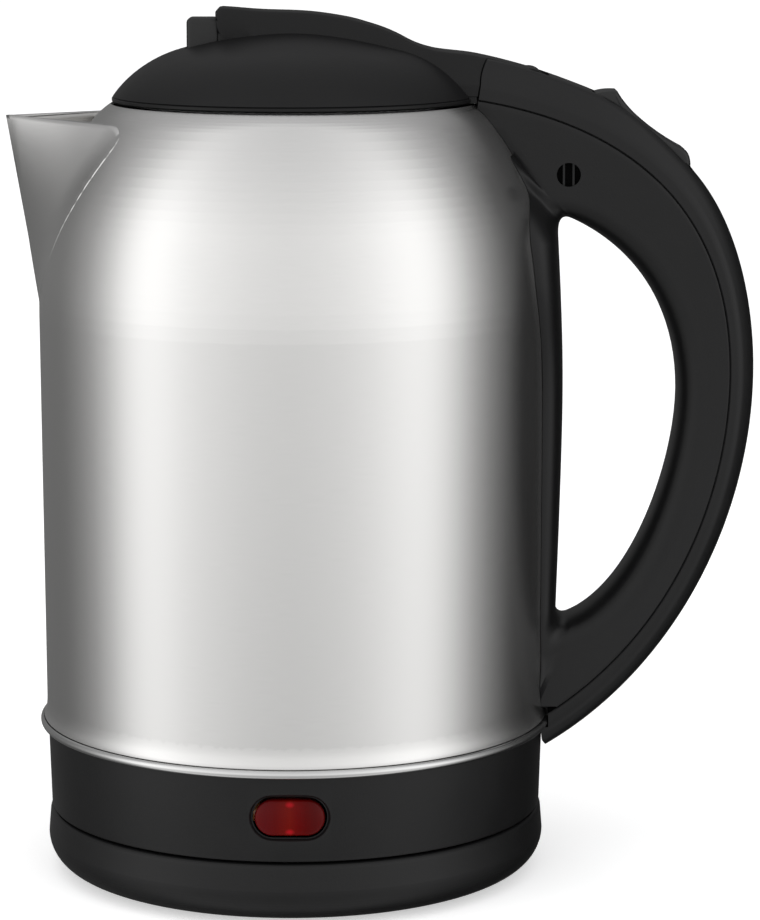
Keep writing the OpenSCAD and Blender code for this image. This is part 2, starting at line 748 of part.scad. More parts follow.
module lid_dome() {
    color(BLACK) difference() {
        union() {
            difference() {
                union() {
                    dome_solid();
                    side(concat(crest_line, [up(-34, 6)]), crest_half);
                    side(concat([up(-45, 3)], tongue_line, [up(-18, 2.6), up(-21.7, 2.6), up(-21.7, 1.1),
                        up(-45, 1.1)]), grip_half - 0.3);
                }
                lid_cavity();
            }
            side(concat([up(-34, 10)], tongue_line, [hinge + [0, barrel_r], hinge, up(-10, 2.6),
                up(-24, 2.6)]), tongue_half);
            y_cyl(hinge, barrel_r, tongue_half);
            intersection() {
                lid_bosses() cylinder(r = boss_r - 0.8, h = 60);
                union() {
                    dome_solid();
                    cylinder(r = plug_r - 3, h = lid_z + eps);
                }
            }
        }
        y_cyl(hinge, pin_r + run_clear, 40);
        y_cyl(hinge, barrel_r + 1, 2.6);
        lid_rear_cut();
        button_hole();
        lid_bosses() translate([0, 0, -1]) cylinder(r = screw_r + run_clear, h = 9);
    }
}

// The lid's rear face beside the tongue is round the pin above it, and straight below it
module lid_rear_cut() {
    for (s = [-1, 1]) translate([0, s * (20 + tongue_half), 0]) {
        y_cyl(hinge, gap_r + move_gap, 20);
        side([[hinge[0] - gap_r - move_gap - 1.4, mouth_z], [hinge[0] - gap_r - move_gap, hinge[1]],
            [body_r + 30, hinge[1]], [body_r + 30, mouth_z]], 20);
    }
}

module lid_cavity() {
    rotate_extrude($fn = 128)
        polygon(concat([[0, lid_z - 1]], [[lid_r - lid_wall, lid_z - 1]], dome_line(lid_wall)));
    side([[crest_front + 4, mouth_z + 12], [crest_front + 4, mouth_z + crest_h - 4],
        [10, mouth_z + crest_h - 4.4], [18, mouth_z + dome_h - 8.4]], crest_half - lid_wall);
}

module lid_bosses() {
    for (x = [-11, 19], y = [-27, 27])
        translate([x, y, mouth_z - plug_h + liner_t + fit_gap]) children();
}

module button_hole() {
    translate([button_x - button_l / 2 - move_gap, -button_half - move_gap, mouth_z + 8])
        cube([button_l + 2 * move_gap, 2 * (button_half + move_gap), 17]);
}

module lid_liner() {
    z0 = mouth_z - plug_h;
    color([0.75, 0.75, 0.76]) difference() {
        union() {
            translate([0, 0, z0]) cylinder(r = plug_r, h = liner_t);
            translate([0, 0, z0]) ring_of(plug_r - 1.8, plug_r, plug_h);
            for (s = [-1, 1]) translate([-plug_r + 3, s * spring_at - 1, z0 + 1])
                cube([plug_r - 12, 2, bolt_z + bolt_t - z0 - 1]);
            translate([button_x + 2, 0, z0]) cylinder(r = 3, h = bolt_z - z0 - move_gap);
        }
        translate([0, 0, z0 + 0.6]) ring_of(plug_r - 0.6, plug_r + 2, 2.2);
        translate([-plug_r - 5, -bolt_half - move_gap, bolt_z - move_gap])
            cube([12, 2 * (bolt_half + move_gap), bolt_t + 2 * move_gap]);
        lid_bosses() translate([0, 0, -10]) cylinder(r = screw_r + fit_gap, h = 20);
    }
}

module lid_seal() {
    color([0.85, 0.85, 0.85]) translate([0, 0, mouth_z - plug_h + 0.7])
        ring_of(plug_r - 0.5, plug_r + seal_t, 2);
}

module lid_screws() {
    color(STEEL) lid_bosses() translate([0, 0, -liner_t - fit_gap - head_h]) screw(liner_t + 7);
}

// The button's stem ends in a 45 degree wedge that clears the bolt when it is pressed
stem_half = 3;
stem_z = bolt_z + bolt_t + button_travel + move_gap;

module lid_button() {
    block_z = mouth_z + 9.5;
    flange = spring_at + 2.2;
    color(DARK) {
        translate([button_x - button_l / 2, -button_half, block_z])
            cube([button_l, 2 * button_half, mouth_z + button_top - 1.5 - block_z]);
        side(concat([[button_x - button_l / 2, block_z + 5]],
            arc([button_x - button_l / 2 + 1.5, mouth_z + button_top - 1.5], 1.5, 180, 90, 4),
            arc([button_x + button_l / 2 - 1.5, mouth_z + button_top - 1.5], 1.5, 90, 0, 4),
            [[button_x + button_l / 2, block_z + 5]]), button_half);
        side([[ramp_x - stem_half, block_z + 1], [ramp_x + stem_half, block_z + 1],
            [ramp_x + stem_half, stem_z + 2 * stem_half], [ramp_x - stem_half, stem_z]], stem_half);
        translate([button_x - button_l / 2, -flange, block_z]) cube([button_l, 2 * flange, 1.5]);
    }
}

// The bolt slides back as the wedge comes down its ramp
module latch_bolt() {
    end_x = -throat_r + bolt_in;
    top = bolt_z + bolt_t;
    ramp_h = 7;
    ramp_low = ramp_x - stem_half - button_travel - move_gap + move_gap * sqrt(2);
    color(DARK) {
        translate([end_x + 2, -bolt_half, bolt_z]) cube([ramp_x + 12 - end_x - 2, 2 * bolt_half, bolt_t]);
        side([[end_x, top], [end_x, top - 0.8], [end_x + 2 + eps, bolt_z], [end_x + 2 + eps, top]],
            bolt_half);
        side([[ramp_low, top], [ramp_low, top - 1], [ramp_x + 8, top - 1], [ramp_x + 8, top + ramp_h],
            [ramp_low + ramp_h, top + ramp_h]], stem_half);
    }
}

spring_at = bolt_half + 1.4;                // over the bolt's guide rails
spring_turns = 6;

module button_spring() {
    low_z = bolt_z + bolt_t + 0.4;
    pitch = (mouth_z + 9.5 - low_z - 0.8) / spring_turns;
    color(STEEL) for (s = [-1, 1], i = [0:spring_turns])
        translate([button_x, s * spring_at, low_z + i * pitch])
            rotate_extrude($fn = 32) translate([1.5, 0]) circle(r = 0.35, $fn = 16);
}

base_foot_ring();
base_bottom_plate();
base_top_cover();
base_screws();
base_coupler();
base_contacts();
cord_bush();
bottom_housing();
bottom_cover();
bottom_screws();
control_unit();
control_screws();
kettle_contacts();
indicator_lens();
indicator_lamp();
trim_ring();
heating_plate();
heat_spreader();
heating_element();
body_shell();
spout();
spout_filter();
neck_collar();
handle_frame();
handle_cover();
handle_screws();
steam_seal();
steam_switch();
bimetal_disc();
handle_wires();
hinge_pin();
hinge_spring();
rocker_axle();
switch_rocker();
lid_dome();
lid_liner();
lid_seal();
lid_screws();
lid_button();
latch_bolt();
button_spring();
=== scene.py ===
import math

import bmesh
import bpy
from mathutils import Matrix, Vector


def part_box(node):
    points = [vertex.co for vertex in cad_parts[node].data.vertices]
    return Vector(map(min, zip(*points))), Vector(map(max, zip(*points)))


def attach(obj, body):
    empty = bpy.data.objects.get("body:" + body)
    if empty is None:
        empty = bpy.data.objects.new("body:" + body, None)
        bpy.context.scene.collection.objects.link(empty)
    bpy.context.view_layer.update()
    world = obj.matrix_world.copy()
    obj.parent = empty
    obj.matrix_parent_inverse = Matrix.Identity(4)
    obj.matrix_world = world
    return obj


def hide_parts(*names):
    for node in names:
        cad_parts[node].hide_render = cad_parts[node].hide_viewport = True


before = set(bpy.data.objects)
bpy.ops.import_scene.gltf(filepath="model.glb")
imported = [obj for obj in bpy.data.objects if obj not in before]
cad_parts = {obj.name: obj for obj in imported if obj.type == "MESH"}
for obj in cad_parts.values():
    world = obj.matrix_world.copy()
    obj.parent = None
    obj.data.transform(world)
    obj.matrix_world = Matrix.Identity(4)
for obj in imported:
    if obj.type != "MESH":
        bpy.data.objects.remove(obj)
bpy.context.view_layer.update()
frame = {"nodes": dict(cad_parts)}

MM = 0.001

# Camera, floor and light. A long lens looks slightly down at the kettle on a pale table, between
# two wide soft lights that stand left and right of the camera, with a soft light overhead.
camera = bpy.data.objects.new("camera", bpy.data.cameras.new("camera"))
bpy.context.scene.collection.objects.link(camera)
camera.data.lens = 139.85
camera.data.sensor_width = 36
camera.data.shift_y = -0.1203
camera.location = (0.0253, -1.0472, 0.2974)
camera.rotation_euler = (math.radians(90 - 7.767), 0, 0)
camera.data.clip_end = 60
bpy.context.scene.camera = camera
bpy.context.scene.view_settings.view_transform = "Standard"

floor_bm = bmesh.new()
bmesh.ops.create_circle(floor_bm, cap_ends=True, segments=96, radius=9)
floor_mesh = bpy.data.meshes.new("floor")
floor_bm.to_mesh(floor_mesh)
floor = bpy.data.objects.new("floor", floor_mesh)
bpy.context.scene.collection.objects.link(floor)
floor.visible_glossy = False
floor_paint = bpy.data.materials.new("floor_paint")
floor_paint.use_nodes = True
floor_paint.node_tree.nodes["Principled BSDF"].inputs["Base Color"].default_value = (0.92, 0.92, 0.92, 1)
floor_paint.node_tree.nodes["Principled BSDF"].inputs["Roughness"].default_value = 0.7
floor_paint.node_tree.nodes["Principled BSDF"].inputs["Emission Color"].default_value = (1, 1, 1, 1)
floor_paint.node_tree.nodes["Principled BSDF"].inputs["Emission Strength"].default_value = 0.5
floor_mesh.materials.append(floor_paint)

# The room's brightness by the direction round from the camera, in degrees, right as positive
ROOM = [(-180, 0.12), (-150, 0.18), (-125, 0.17), (-106, 0.3), (-90, 0.64), (-80, 1.14), (-70, 1.42),
        (-60, 1.36), (-48, 1.14), (-36, 1.03), (-16, 0.91), (0, 0.87), (18, 0.93), (34, 1.05), (46, 1.22),
        (60, 1.36), (70, 1.2),
        (78, 0.88), (90, 0.43), (102, 0.2), (118, 0.04), (140, 0.02), (180, 0.12)]
BRIGHTEST = 1.42
world = bpy.data.worlds.new("studio")
world.use_nodes = True
bpy.context.scene.world = world
sky = world.node_tree.nodes
link_sky = world.node_tree.links.new
way = sky.new("ShaderNodeTexCoord")
split = sky.new("ShaderNodeSeparateXYZ")
link_sky(way.outputs["Generated"], split.inputs[0])
toward = sky.new("ShaderNodeMath")
toward.operation = "MULTIPLY"
toward.inputs[1].default_value = -1
link_sky(split.outputs["Y"], toward.inputs[0])
turn = sky.new("ShaderNodeMath")
turn.operation = "ARCTAN2"
link_sky(split.outputs["X"], turn.inputs[0])
link_sky(toward.outputs[0], turn.inputs[1])
share = sky.new("ShaderNodeMapRange")
share.inputs["From Min"].default_value = -math.pi
share.inputs["From Max"].default_value = math.pi
link_sky(turn.outputs[0], share.inputs["Value"])
band = sky.new("ShaderNodeValToRGB")
band.color_ramp.interpolation = "EASE"
stops = band.color_ramp.elements
for i, (angle, level) in enumerate(ROOM):
    stop = stops[i] if i < 2 else stops.new(0.999)
    stop.position = (angle + 180) / 360
    stop.color = (level / BRIGHTEST, level / BRIGHTEST, level / BRIGHTEST, 1)
link_sky(share.outputs[0], band.inputs[0])
lower = sky.new("ShaderNodeMapRange")
lower.inputs["From Min"].default_value = -0.42
lower.inputs["From Max"].default_value = -0.06
lower.inputs["To Min"].default_value = 0.62
lower.inputs["To Max"].default_value = 1.08
link_sky(split.outputs["Z"], lower.inputs["Value"])
dim_low = sky.new("ShaderNodeMix")
dim_low.data_type = "RGBA"
dim_low.blend_type = "MULTIPLY"
dim_low.inputs["Factor"].default_value = 1
link_sky(band.outputs[0], dim_low.inputs["A"])
link_sky(lower.outputs[0], dim_low.inputs["B"])
overhead = sky.new("ShaderNodeMapRange")
overhead.inputs["From Min"].default_value = 0.35
overhead.inputs["From Max"].default_value = 0.95
overhead.inputs["To Max"].default_value = 0.8
link_sky(split.outputs["Z"], overhead.inputs["Value"])
blend_up = sky.new("ShaderNodeMix")
blend_up.data_type = "RGBA"
blend_up.inputs["B"].default_value = (0.5, 0.5, 0.505, 1)
link_sky(overhead.outputs[0], blend_up.inputs["Factor"])
link_sky(dim_low.outputs["Result"], blend_up.inputs["A"])
room = sky["Background"]
room.inputs["Strength"].default_value = BRIGHTEST
link_sky(blend_up.outputs["Result"], room.inputs["Color"])
plain = sky.new("ShaderNodeBackground")
plain.inputs["Color"].default_value = (1, 1, 1, 1)
seen = sky.new("ShaderNodeLightPath")
choose = sky.new("ShaderNodeMixShader")
link_sky(seen.outputs["Is Camera Ray"], choose.inputs[0])
link_sky(room.outputs[0], choose.inputs[1])
link_sky(plain.outputs[0], choose.inputs[2])
link_sky(choose.outputs[0], sky["World Output"].inputs["Surface"])


def soft_light(name, place, aim, size, watts):
    """A square soft light that hangs at place and points at aim."""
    lamp = bpy.data.lights.new(name, "AREA")
    lamp.shape = "RECTANGLE"
    lamp.size, lamp.size_y = size
    lamp.energy = watts
    holder = bpy.data.objects.new(name, lamp)
    holder.location = place
    holder.rotation_euler = (Vector(aim) - Vector(place)).to_track_quat("-Z", "Y").to_euler()
    holder.visible_glossy = False
    bpy.context.scene.collection.objects.link(holder)


soft_light("top_light", (0.0, -0.1, 1.9), (0, 0, 0.1), (2.2, 2.2), 9)

# Steel body: a deep-drawn stainless tube with a domed shoulder, brushed round its axis after
# forming. Its wall is the CAD shell, with the window behind the spout and the steam hole.


def shader_nodes(name):
    """A new material, with its node list, its link call and its Principled shader."""
    material = bpy.data.materials.new(name)
    material.use_nodes = True
    tree = material.node_tree
    return material, tree.nodes, tree.links.new, tree.nodes["Principled BSDF"]


def new_group(name, inputs, outputs):
    """An empty node group with number inputs and their values, and outputs by kind."""
    group = bpy.data.node_groups.new(name, "ShaderNodeTree")
    for label, value in inputs.items():
        kind = "NodeSocketVector" if label == "Vector" else "NodeSocketFloat"
        socket = group.interface.new_socket(name=label, in_out="INPUT", socket_type=kind)
        if kind == "NodeSocketFloat":
            socket.default_value = value
    for label, kind in outputs.items():
        group.interface.new_socket(name=label, in_out="OUTPUT", socket_type=kind)
    return group, group.nodes.new("NodeGroupInput"), group.nodes.new("NodeGroupOutput")


def math_node(nodes, link, operation, first, second=None):
    """A Math node fed by sockets or plain numbers."""
    node = nodes.new("ShaderNodeMath")
    node.operation = operation
    for socket, value in zip(node.inputs, (first, second)):
        if isinstance(value, (int, float)):
            socket.default_value = value
        elif value is not None:
            link(value, socket)
    return node.outputs[0]


def noise_node(nodes, link, vector, scale, detail=2.0, roughness=0.5):
    """A 3D noise texture on vector."""
    node = nodes.new("ShaderNodeTexNoise")
    node.inputs["Scale"].default_value = scale
    node.inputs["Detail"].default_value = detail
    node.inputs["Roughness"].default_value = roughness
    link(vector, node.inputs["Vector"])
    return node.outputs["Fac"]


# Brushed lines that run round the Z axis: long round it, very short up it
ROUND_LINES, round_in, round_out = new_group("brushed_round",
                                             {"Vector": None, "Reach": 0.075, "Fineness": 5200.0},
                                             {"Lines": "NodeSocketFloat", "Cloud": "NodeSocketFloat"})
g_nodes, g_link = ROUND_LINES.nodes, ROUND_LINES.links.new
g_split = g_nodes.new("ShaderNodeSeparateXYZ")
g_link(round_in.outputs["Vector"], g_split.inputs[0])
g_angle = math_node(g_nodes, g_link, "ARCTAN2", g_split.outputs["Y"], g_split.outputs["X"])
g_round = math_node(g_nodes, g_link, "MULTIPLY", g_angle, round_in.outputs["Reach"])
g_fine = math_node(g_nodes, g_link, "MULTIPLY", g_split.outputs["Z"], round_in.outputs["Fineness"])
g_long = math_node(g_nodes, g_link, "MULTIPLY", g_round, 140.0)
g_join = g_nodes.new("ShaderNodeCombineXYZ")
g_link(g_long, g_join.inputs["X"])
g_link(g_fine, g_join.inputs["Z"])
g_lines = noise_node(g_nodes, g_link, g_join.outputs[0], 1.0, 4.0, 0.65)
g_cloud = noise_node(g_nodes, g_link, round_in.outputs["Vector"], 22.0, 2.0, 0.5)
g_link(g_lines, round_out.inputs["Lines"])
g_link(g_cloud, round_out.inputs["Cloud"])


def ranged(nodes, link, value, low, high):
    """value, from 0 to 1, moved to run from low to high."""
    node = nodes.new("ShaderNodeMapRange")
    node.inputs["From Min"].default_value = 0.25
    node.inputs["From Max"].default_value = 0.75
    node.inputs["To Min"].default_value = low
    node.inputs["To Max"].default_value = high
    link(value, node.inputs["Value"])
    return node.outputs[0]


def tinted(nodes, link, value, dark, light):
    """A colour between dark and light, by value."""
    node = nodes.new("ShaderNodeMix")
    node.data_type = "RGBA"
    node.inputs["A"].default_value = (*dark, 1)
    node.inputs["B"].default_value = (*light, 1)
    link(value, node.inputs["Factor"])
    return node.outputs["Result"]


def bumped(nodes, link, height, distance, strength, shader):
    """A Bump node from height, on the shader's normal."""
    node = nodes.new("ShaderNodeBump")
    node.inputs["Distance"].default_value = distance
    node.inputs["Strength"].default_value = strength
    link(height, node.inputs["Height"])
    link(node.outputs[0], shader.inputs["Normal"])


def brushed_steel(name, dark, light, rough_low, rough_high, reach=0.075):
    """Stainless steel brushed round the Z axis."""
    material, nodes, link, shader = shader_nodes(name)
    where = nodes.new("ShaderNodeTexCoord").outputs["Object"]
    lines = nodes.new("ShaderNodeGroup")
    lines.node_tree = ROUND_LINES
    lines.inputs["Reach"].default_value = reach
    lines.inputs["Fineness"].default_value = 5200.0
    link(where, lines.inputs["Vector"])
    shader.inputs["Metallic"].default_value = 1.0
    shader.inputs["Anisotropic"].default_value = 0.55
    link(tinted(nodes, link, lines.outputs["Lines"], dark, light), shader.inputs["Base Color"])
    link(ranged(nodes, link, lines.outputs["Lines"], rough_low, rough_high), shader.inputs["Roughness"])
    bumped(nodes, link, lines.outputs["Lines"], 0.00002, 0.12, shader)
    along = nodes.new("ShaderNodeTangent")
    along.direction_type = "RADIAL"
    along.axis = "Z"
    link(along.outputs[0], shader.inputs["Tangent"])
    return material


STEEL = brushed_steel("brushed_steel", (0.70, 0.695, 0.685), (0.77, 0.765, 0.755), 0.22, 0.26)
node = frame["nodes"]


def coat(material, *names):
    """Gives the named CAD nodes a material of this scene."""
    for name in names:
        node[name].data.materials.clear()
        node[name].data.materials.append(material)


coat(STEEL, "body_shell")
low_corner, high_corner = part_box("body_shell")
body_r = high_corner.x
mouth_z = high_corner.z
body_z = low_corner.z
ring_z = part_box("trim_ring")[0].z
low_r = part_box("trim_ring")[1].x - 2 * MM

# The shoulder's three arcs, each tangent to the last: radius and end angle
ARC_R = [145 * MM, 74 * MM, 20 * MM]
ARC_A = [0, 9.5, 37.5, 58]


def sin(degrees):
    return math.sin(math.radians(degrees))


def cos(degrees):
    return math.cos(math.radians(degrees))


shoulder_z = mouth_z - sum(ARC_R[i] * (sin(ARC_A[i + 1]) - sin(ARC_A[i])) for i in range(3))


def body_outline():
    """Radius and height of the body's outer side, from its foot to its mouth."""
    points = [(low_r, body_z)]
    centre = (body_r - ARC_R[0], shoulder_z)
    for i in range(3):
        if i:
            centre = (centre[0] + (ARC_R[i - 1] - ARC_R[i]) * cos(ARC_A[i]),
                      centre[1] + (ARC_R[i - 1] - ARC_R[i]) * sin(ARC_A[i]))
        for step in range(13):
            angle = ARC_A[i] + (ARC_A[i + 1] - ARC_A[i]) * step / 12
            if step or not i:
                points.append((centre[0] + ARC_R[i] * cos(angle), centre[1] + ARC_R[i] * sin(angle)))
    return points


BODY_LINE = body_outline()


def radius_at(height):
    """Radius of the steel body at a height."""
    for (r0, z0), (r1, z1) in zip(BODY_LINE, BODY_LINE[1:]):
        if z0 <= height <= z1:
            return r0 + (r1 - r0) * (height - z0) / (z1 - z0)
    return BODY_LINE[0][0] if height < body_z else BODY_LINE[-1][0]


# Spout: one folded sheet of steel with a sharp keel, whose edge is dished out to a narrow flange
# and welded on the body. It stands wide open at the top.


def between(table, place):
    """The value at place in a table of (place, value), on a smooth line through its rows."""
    if place <= table[0][0]:
        return table[0][1]
    for i, ((p0, v0), (p1, v1)) in enumerate(zip(table, table[1:])):
        if place <= p1:
            before = table[max(i - 1, 0)]
            after = table[min(i + 2, len(table) - 1)]
            t = (place - p0) / (p1 - p0)
            m0 = (v1 - before[1]) / (p1 - before[0]) * (p1 - p0)
            m1 = (after[1] - v0) / (after[0] - p0) * (p1 - p0)
            return ((2 * t ** 3 - 3 * t ** 2 + 1) * v0 + (t ** 3 - 2 * t ** 2 + t) * m0
                    + (3 * t ** 2 - 2 * t ** 3) * v1 + (t ** 3 - t ** 2) * m1)
    return table[-1][1]


def outward(bm):
    """Turns all faces of bm to face out."""
    bm.normal_update()
    bmesh.ops.recalc_face_normals(bm, faces=bm.faces)
    return bm


def lofted(columns, rows, place):
    """A sheet of columns by rows faces laid where place(u, v) says, with its seams and poles closed."""
    bm = bmesh.new()
    bmesh.ops.create_grid(bm, x_segments=columns, y_segments=rows, size=0.5)
    for vert in bm.verts:
        vert.co = place(vert.co.x + 0.5, vert.co.y + 0.5)
    bmesh.ops.remove_doubles(bm, verts=bm.verts, dist=0.000002)
    return outward(bm)


def made(name, bm, material, body, replaced=(), sharp=32):
    """Turns bm into a finished piece that rides on a body."""
    mesh = bpy.data.meshes.new(name)
    bm.to_mesh(mesh)
    bm.free()
    mesh.polygons.foreach_set("use_smooth", [True] * len(mesh.polygons))
    mesh.set_sharp_from_angle(angle=math.radians(sharp))
    mesh.materials.append(material)
    piece = bpy.data.objects.new(name, mesh)
    bpy.context.scene.collection.objects.link(piece)
    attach(piece, body)
    if replaced:
        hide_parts(*replaced)
    return piece


spout_tip = Vector((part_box("spout")[0].x, 0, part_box("spout")[1].z))
KEEL_LOW = mouth_z - 60.4 * MM
rim_z = mouth_z - 6.1 * MM
# Half width of the seam on the body, by height over the keel's foot
SEAM_HALF = [(0, 0), (1.6, 7 * MM), (6, 13.2 * MM), (11.5, 18.8 * MM), (18, 24.4 * MM), (25, 29.4 * MM),
             (32.5, 33.6 * MM), (39, 36 * MM), (45, 37.4 * MM), (50, 37.6 * MM), (52.5, 36.9 * MM)]


def on_body(half, height):
    """The point of the body's spout side at a half width and height."""
    r = radius_at(height)
    return Vector((-math.sqrt(max(r * r - half * half, 0)), half, height))


def spout_sheet(u, v):
    """u runs from the near seam over the keel to the far seam, v from the keel's foot to the rim."""
    across = abs(2 * u - 1)
    side_of = -1 if u < 0.5 else 1
    rise = 52.5 * v ** 1.4
    seam = on_body(between(SEAM_HALF, rise), KEEL_LOW + rise * MM)
    foot = on_body(0, KEEL_LOW)
    keel = foot.lerp(spout_tip, v ** 1.25)
    fold = 0.25 + 0.75 * min(1, v * 2.5)
    corner_rise = rise + 1.2 * fold + 2.6 * max(0, (v - 0.8) / 0.2) ** 2
    corner_half = max(between(SEAM_HALF, rise) - 4.6 * MM * fold, 0)
    corner = on_body(corner_half, KEEL_LOW + corner_rise * MM)
    bend = corner.lerp(keel, min(0.9, 5.5 * MM / max((keel - corner).length, 6 * MM)))
    if across < 0.62:
        point = keel.lerp(bend, across / 0.62)
    else:
        t = (across - 0.62) / 0.38
        point = bend * (1 - t) ** 2 + corner * 2 * t * (1 - t) + seam * t ** 2
    if across < 0.06:
        point.x += 0.35 * MM * (1 - across / 0.06)
    return (point.x, side_of * abs(point.y), point.z)


spout = made("spout_sheet", lofted(72, 60, spout_sheet), STEEL, "kettle", ["spout"], 60)
wall = spout.modifiers.new("wall", "SOLIDIFY")
wall.thickness = 0.8 * MM
wall.offset = -1

# Lid: a moulded shell in black polypropylene. Its dome rises to a crest that starts as a blunt
# nose behind the button and runs back, over a wide deck, to the tongue round the hinge pin.


def curve(p, n):
    """Points of a cubic Bezier, n steps."""
    out = []
    for i in range(n + 1):
        t, s = i / n, 1 - i / n
        weights = (s ** 3, 3 * s * s * t, 3 * s * t * t, t ** 3)
        out.append(tuple(sum(w * x for w, x in zip(weights, axis)) for axis in zip(*p)))
    return out


def turned(profile, steps=128):
    """A solid of revolution from its (radius, height) outline, which ends on the axis or closes."""
    bm = bmesh.new()
    verts = [bm.verts.new((r, 0, z)) for r, z in profile]
    edges = [bm.edges.new(pair) for pair in zip(verts, verts[1:])]
    bmesh.ops.spin(bm, geom=verts + edges, cent=(0, 0, 0), axis=(0, 0, 1), angle=math.tau, steps=steps,
                   use_merge=True)
    bmesh.ops.remove_doubles(bm, verts=bm.verts, dist=0.000005)
    return outward(bm)


def combined(target, tool, operation):
    """The solid target with the solid tool joined to it or cut from it. Both are bmeshes."""
    held = []
    for bm in (target, tool):
        mesh = bpy.data.meshes.new("work")
        bm.to_mesh(mesh)
        bm.free()
        held.append(bpy.data.objects.new("work", mesh))
        bpy.context.scene.collection.objects.link(held[-1])
    change = held[0].modifiers.new("change", "BOOLEAN")
    change.object = held[1]
    change.operation = operation
    change.solver = "EXACT"
    result = bmesh.new()
    result.from_mesh(held[0].evaluated_get(bpy.context.evaluated_depsgraph_get()).to_mesh())
    for work in held:
        bpy.data.meshes.remove(work.data)
    return result


def block(low, high, edge=0.0, steps=2):
    """A box from its lowest to its highest corner, with its edges rounded."""
    bm = bmesh.new()
    bmesh.ops.create_cube(bm, size=1)
    for vert in bm.verts:
        vert.co = [a + (b - a) * (c + 0.5) for a, b, c in zip(low, high, vert.co)]
    if edge:
        bmesh.ops.bevel(bm, geom=bm.edges[:], offset=edge, affect="EDGES", segments=steps, profile=0.5,
                        material=-1)
    return bm


def rod(at, r, half, segments=48):
    """A cylinder along Y, at (x, z)."""
    bm = bmesh.new()
    bmesh.ops.create_cone(bm, cap_ends=True, segments=segments, radius1=r, radius2=r, depth=2 * half)
    for vert in bm.verts:
        vert.co = (at[0] + vert.co.x, vert.co.z, at[1] + vert.co.y)
    return outward(bm)


def slab(outline, half):
    """An outline of (x, z) points made 2 * half thick along Y."""
    bm = bmesh.new()
    face = bm.faces.new([bm.verts.new((x, -half, z)) for x, z in outline])
    grown = bmesh.ops.extrude_face_region(bm, geom=[face])
    moved = [part for part in grown["geom"] if isinstance(part, bmesh.types.BMVert)]
    bmesh.ops.translate(bm, vec=(0, 2 * half, 0), verts=moved)
    return outward(bm)


pin_low, pin_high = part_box("hinge_pin")
hinge = ((pin_low.x + pin_high.x) / 2, (pin_low.z + pin_high.z) / 2)
pin_r = (pin_high.x - pin_low.x) / 2
lid_low, lid_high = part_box("lid_dome")
lid_r = lid_high.y
lid_z = mouth_z + 0.5 * MM
dome_top = mouth_z + 21.6 * MM
lid_wall = 2.2 * MM
gap_r = 14.5 * MM
barrel_r = lid_high.x - hinge[0]
tongue_half = 9 * MM
grip_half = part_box("handle_cover")[1].y


def dome_line(d):
    """The dome's outline from its rim to the axis, moved in by d."""
    shoulder = (lid_r - 20.2 * MM - 0.5 * d, dome_top - 5.5 * MM - d)
    side_line = curve([(lid_r - d, lid_z + 1.6 * MM), (lid_r - 3.6 * MM - d, lid_z + 6.8 * MM),
                       (shoulder[0] + 9.6 * MM, shoulder[1] - 2.6 * MM), shoulder], 18)
    crown = curve([shoulder, (shoulder[0] - 9.6 * MM, shoulder[1] + 2.6 * MM),
                   (11 * MM, dome_top - 0.1 * MM - d), (0, dome_top - d)], 12)
    return side_line + crown[1:]


def crest_top(x):
    """Height of the crest and deck over the mouth, along X from the nose, in millimetres."""
    return between([(-22.5, 26.9), (-21.6, 27.9), (-20.4, 28.1), (-9.7, 27.3), (4.6, 26.7), (15.7, 25.1),
                    (22.4, 23.3), (27.1, 21.7), (30.9, 20), (34.1, 18.3), (37, 17.1), (40.5, 16.1), (43.5, 15.6),
                    (52, 14.6),
                    (59.5, 13), (66, 11.3), (72, 9.6), (76, 8.4)], x)


def crest_half(x):
    """Half widths of the crest's top and of its foot, in millimetres."""
    top = between([(-22.5, 7.5), (-18, 7.8), (-10, 8.1), (5, 8.6), (20, 9.2), (36, 9.8), (56, 10.4),
                   (80, 10.4)], x)
    foot = between([(-22.5, 9.8), (-18, 10.6), (-10, 11.8), (5, 13), (20, 13.4), (80, 13.3)], x)
    return top, foot


def crest_skin(u, v):
    """u runs round the crest from the middle of its underside over its top, v from the nose to the tail."""
    nose, tail, low = 0.1, 0.985, 2.0
    x = -22.5 + min(1, max(0, (v - nose) / (tail - nose))) * 92
    top, foot = crest_half(x)
    high = crest_top(x)
    away = abs(2 * u - 1)
    if away < 0.88:
        y, height = rounded_flank(away / 0.88, top, foot, high, low)
    else:
        y, height = foot * (1 - (away - 0.88) / 0.12), low
    shrink = min(1, v / nose, (1 - v) / (1 - tail))
    y *= shrink
    if v > tail:
        height = low + (height - low) * shrink
    drop = high - height
    lean = max(0, 1 - (x + 22.5) / 12)
    swept = 0.8 * min(1, max(0, drop - 1.6) / 5)
    swept += (1.2 + 0.9 * min(drop, 9)) * min(1, drop / 1.6) * min(1, max(0, (abs(y) - 7.4) / 1.6))
    return ((x + lean * swept) * MM, math.copysign(y, 2 * u - 1) * MM, mouth_z + height * MM)


def rounded_flank(t, top, foot, high, low):
    """Half width and height at a share t of the way from the middle of the top to the foot."""
    edge = 1.5
    flat = top - edge
    if t < 0.3:
        s = t / 0.3
        return flat * s, high - 0.25 * s * s
    if t < 0.5:
        angle = (t - 0.3) / 0.2 * 78
        return flat + edge * sin(angle), high - 0.25 - edge * (1 - cos(angle))
    s = (t - 0.5) / 0.5
    start = (flat + edge * sin(78), high - 0.25 - edge * (1 - cos(78)))
    wide = start[0] + (foot - start[0]) * min(1, s * (high - low) / max(high - low, 1) * 1.6)
    return wide, start[1] + (low - start[1]) * s


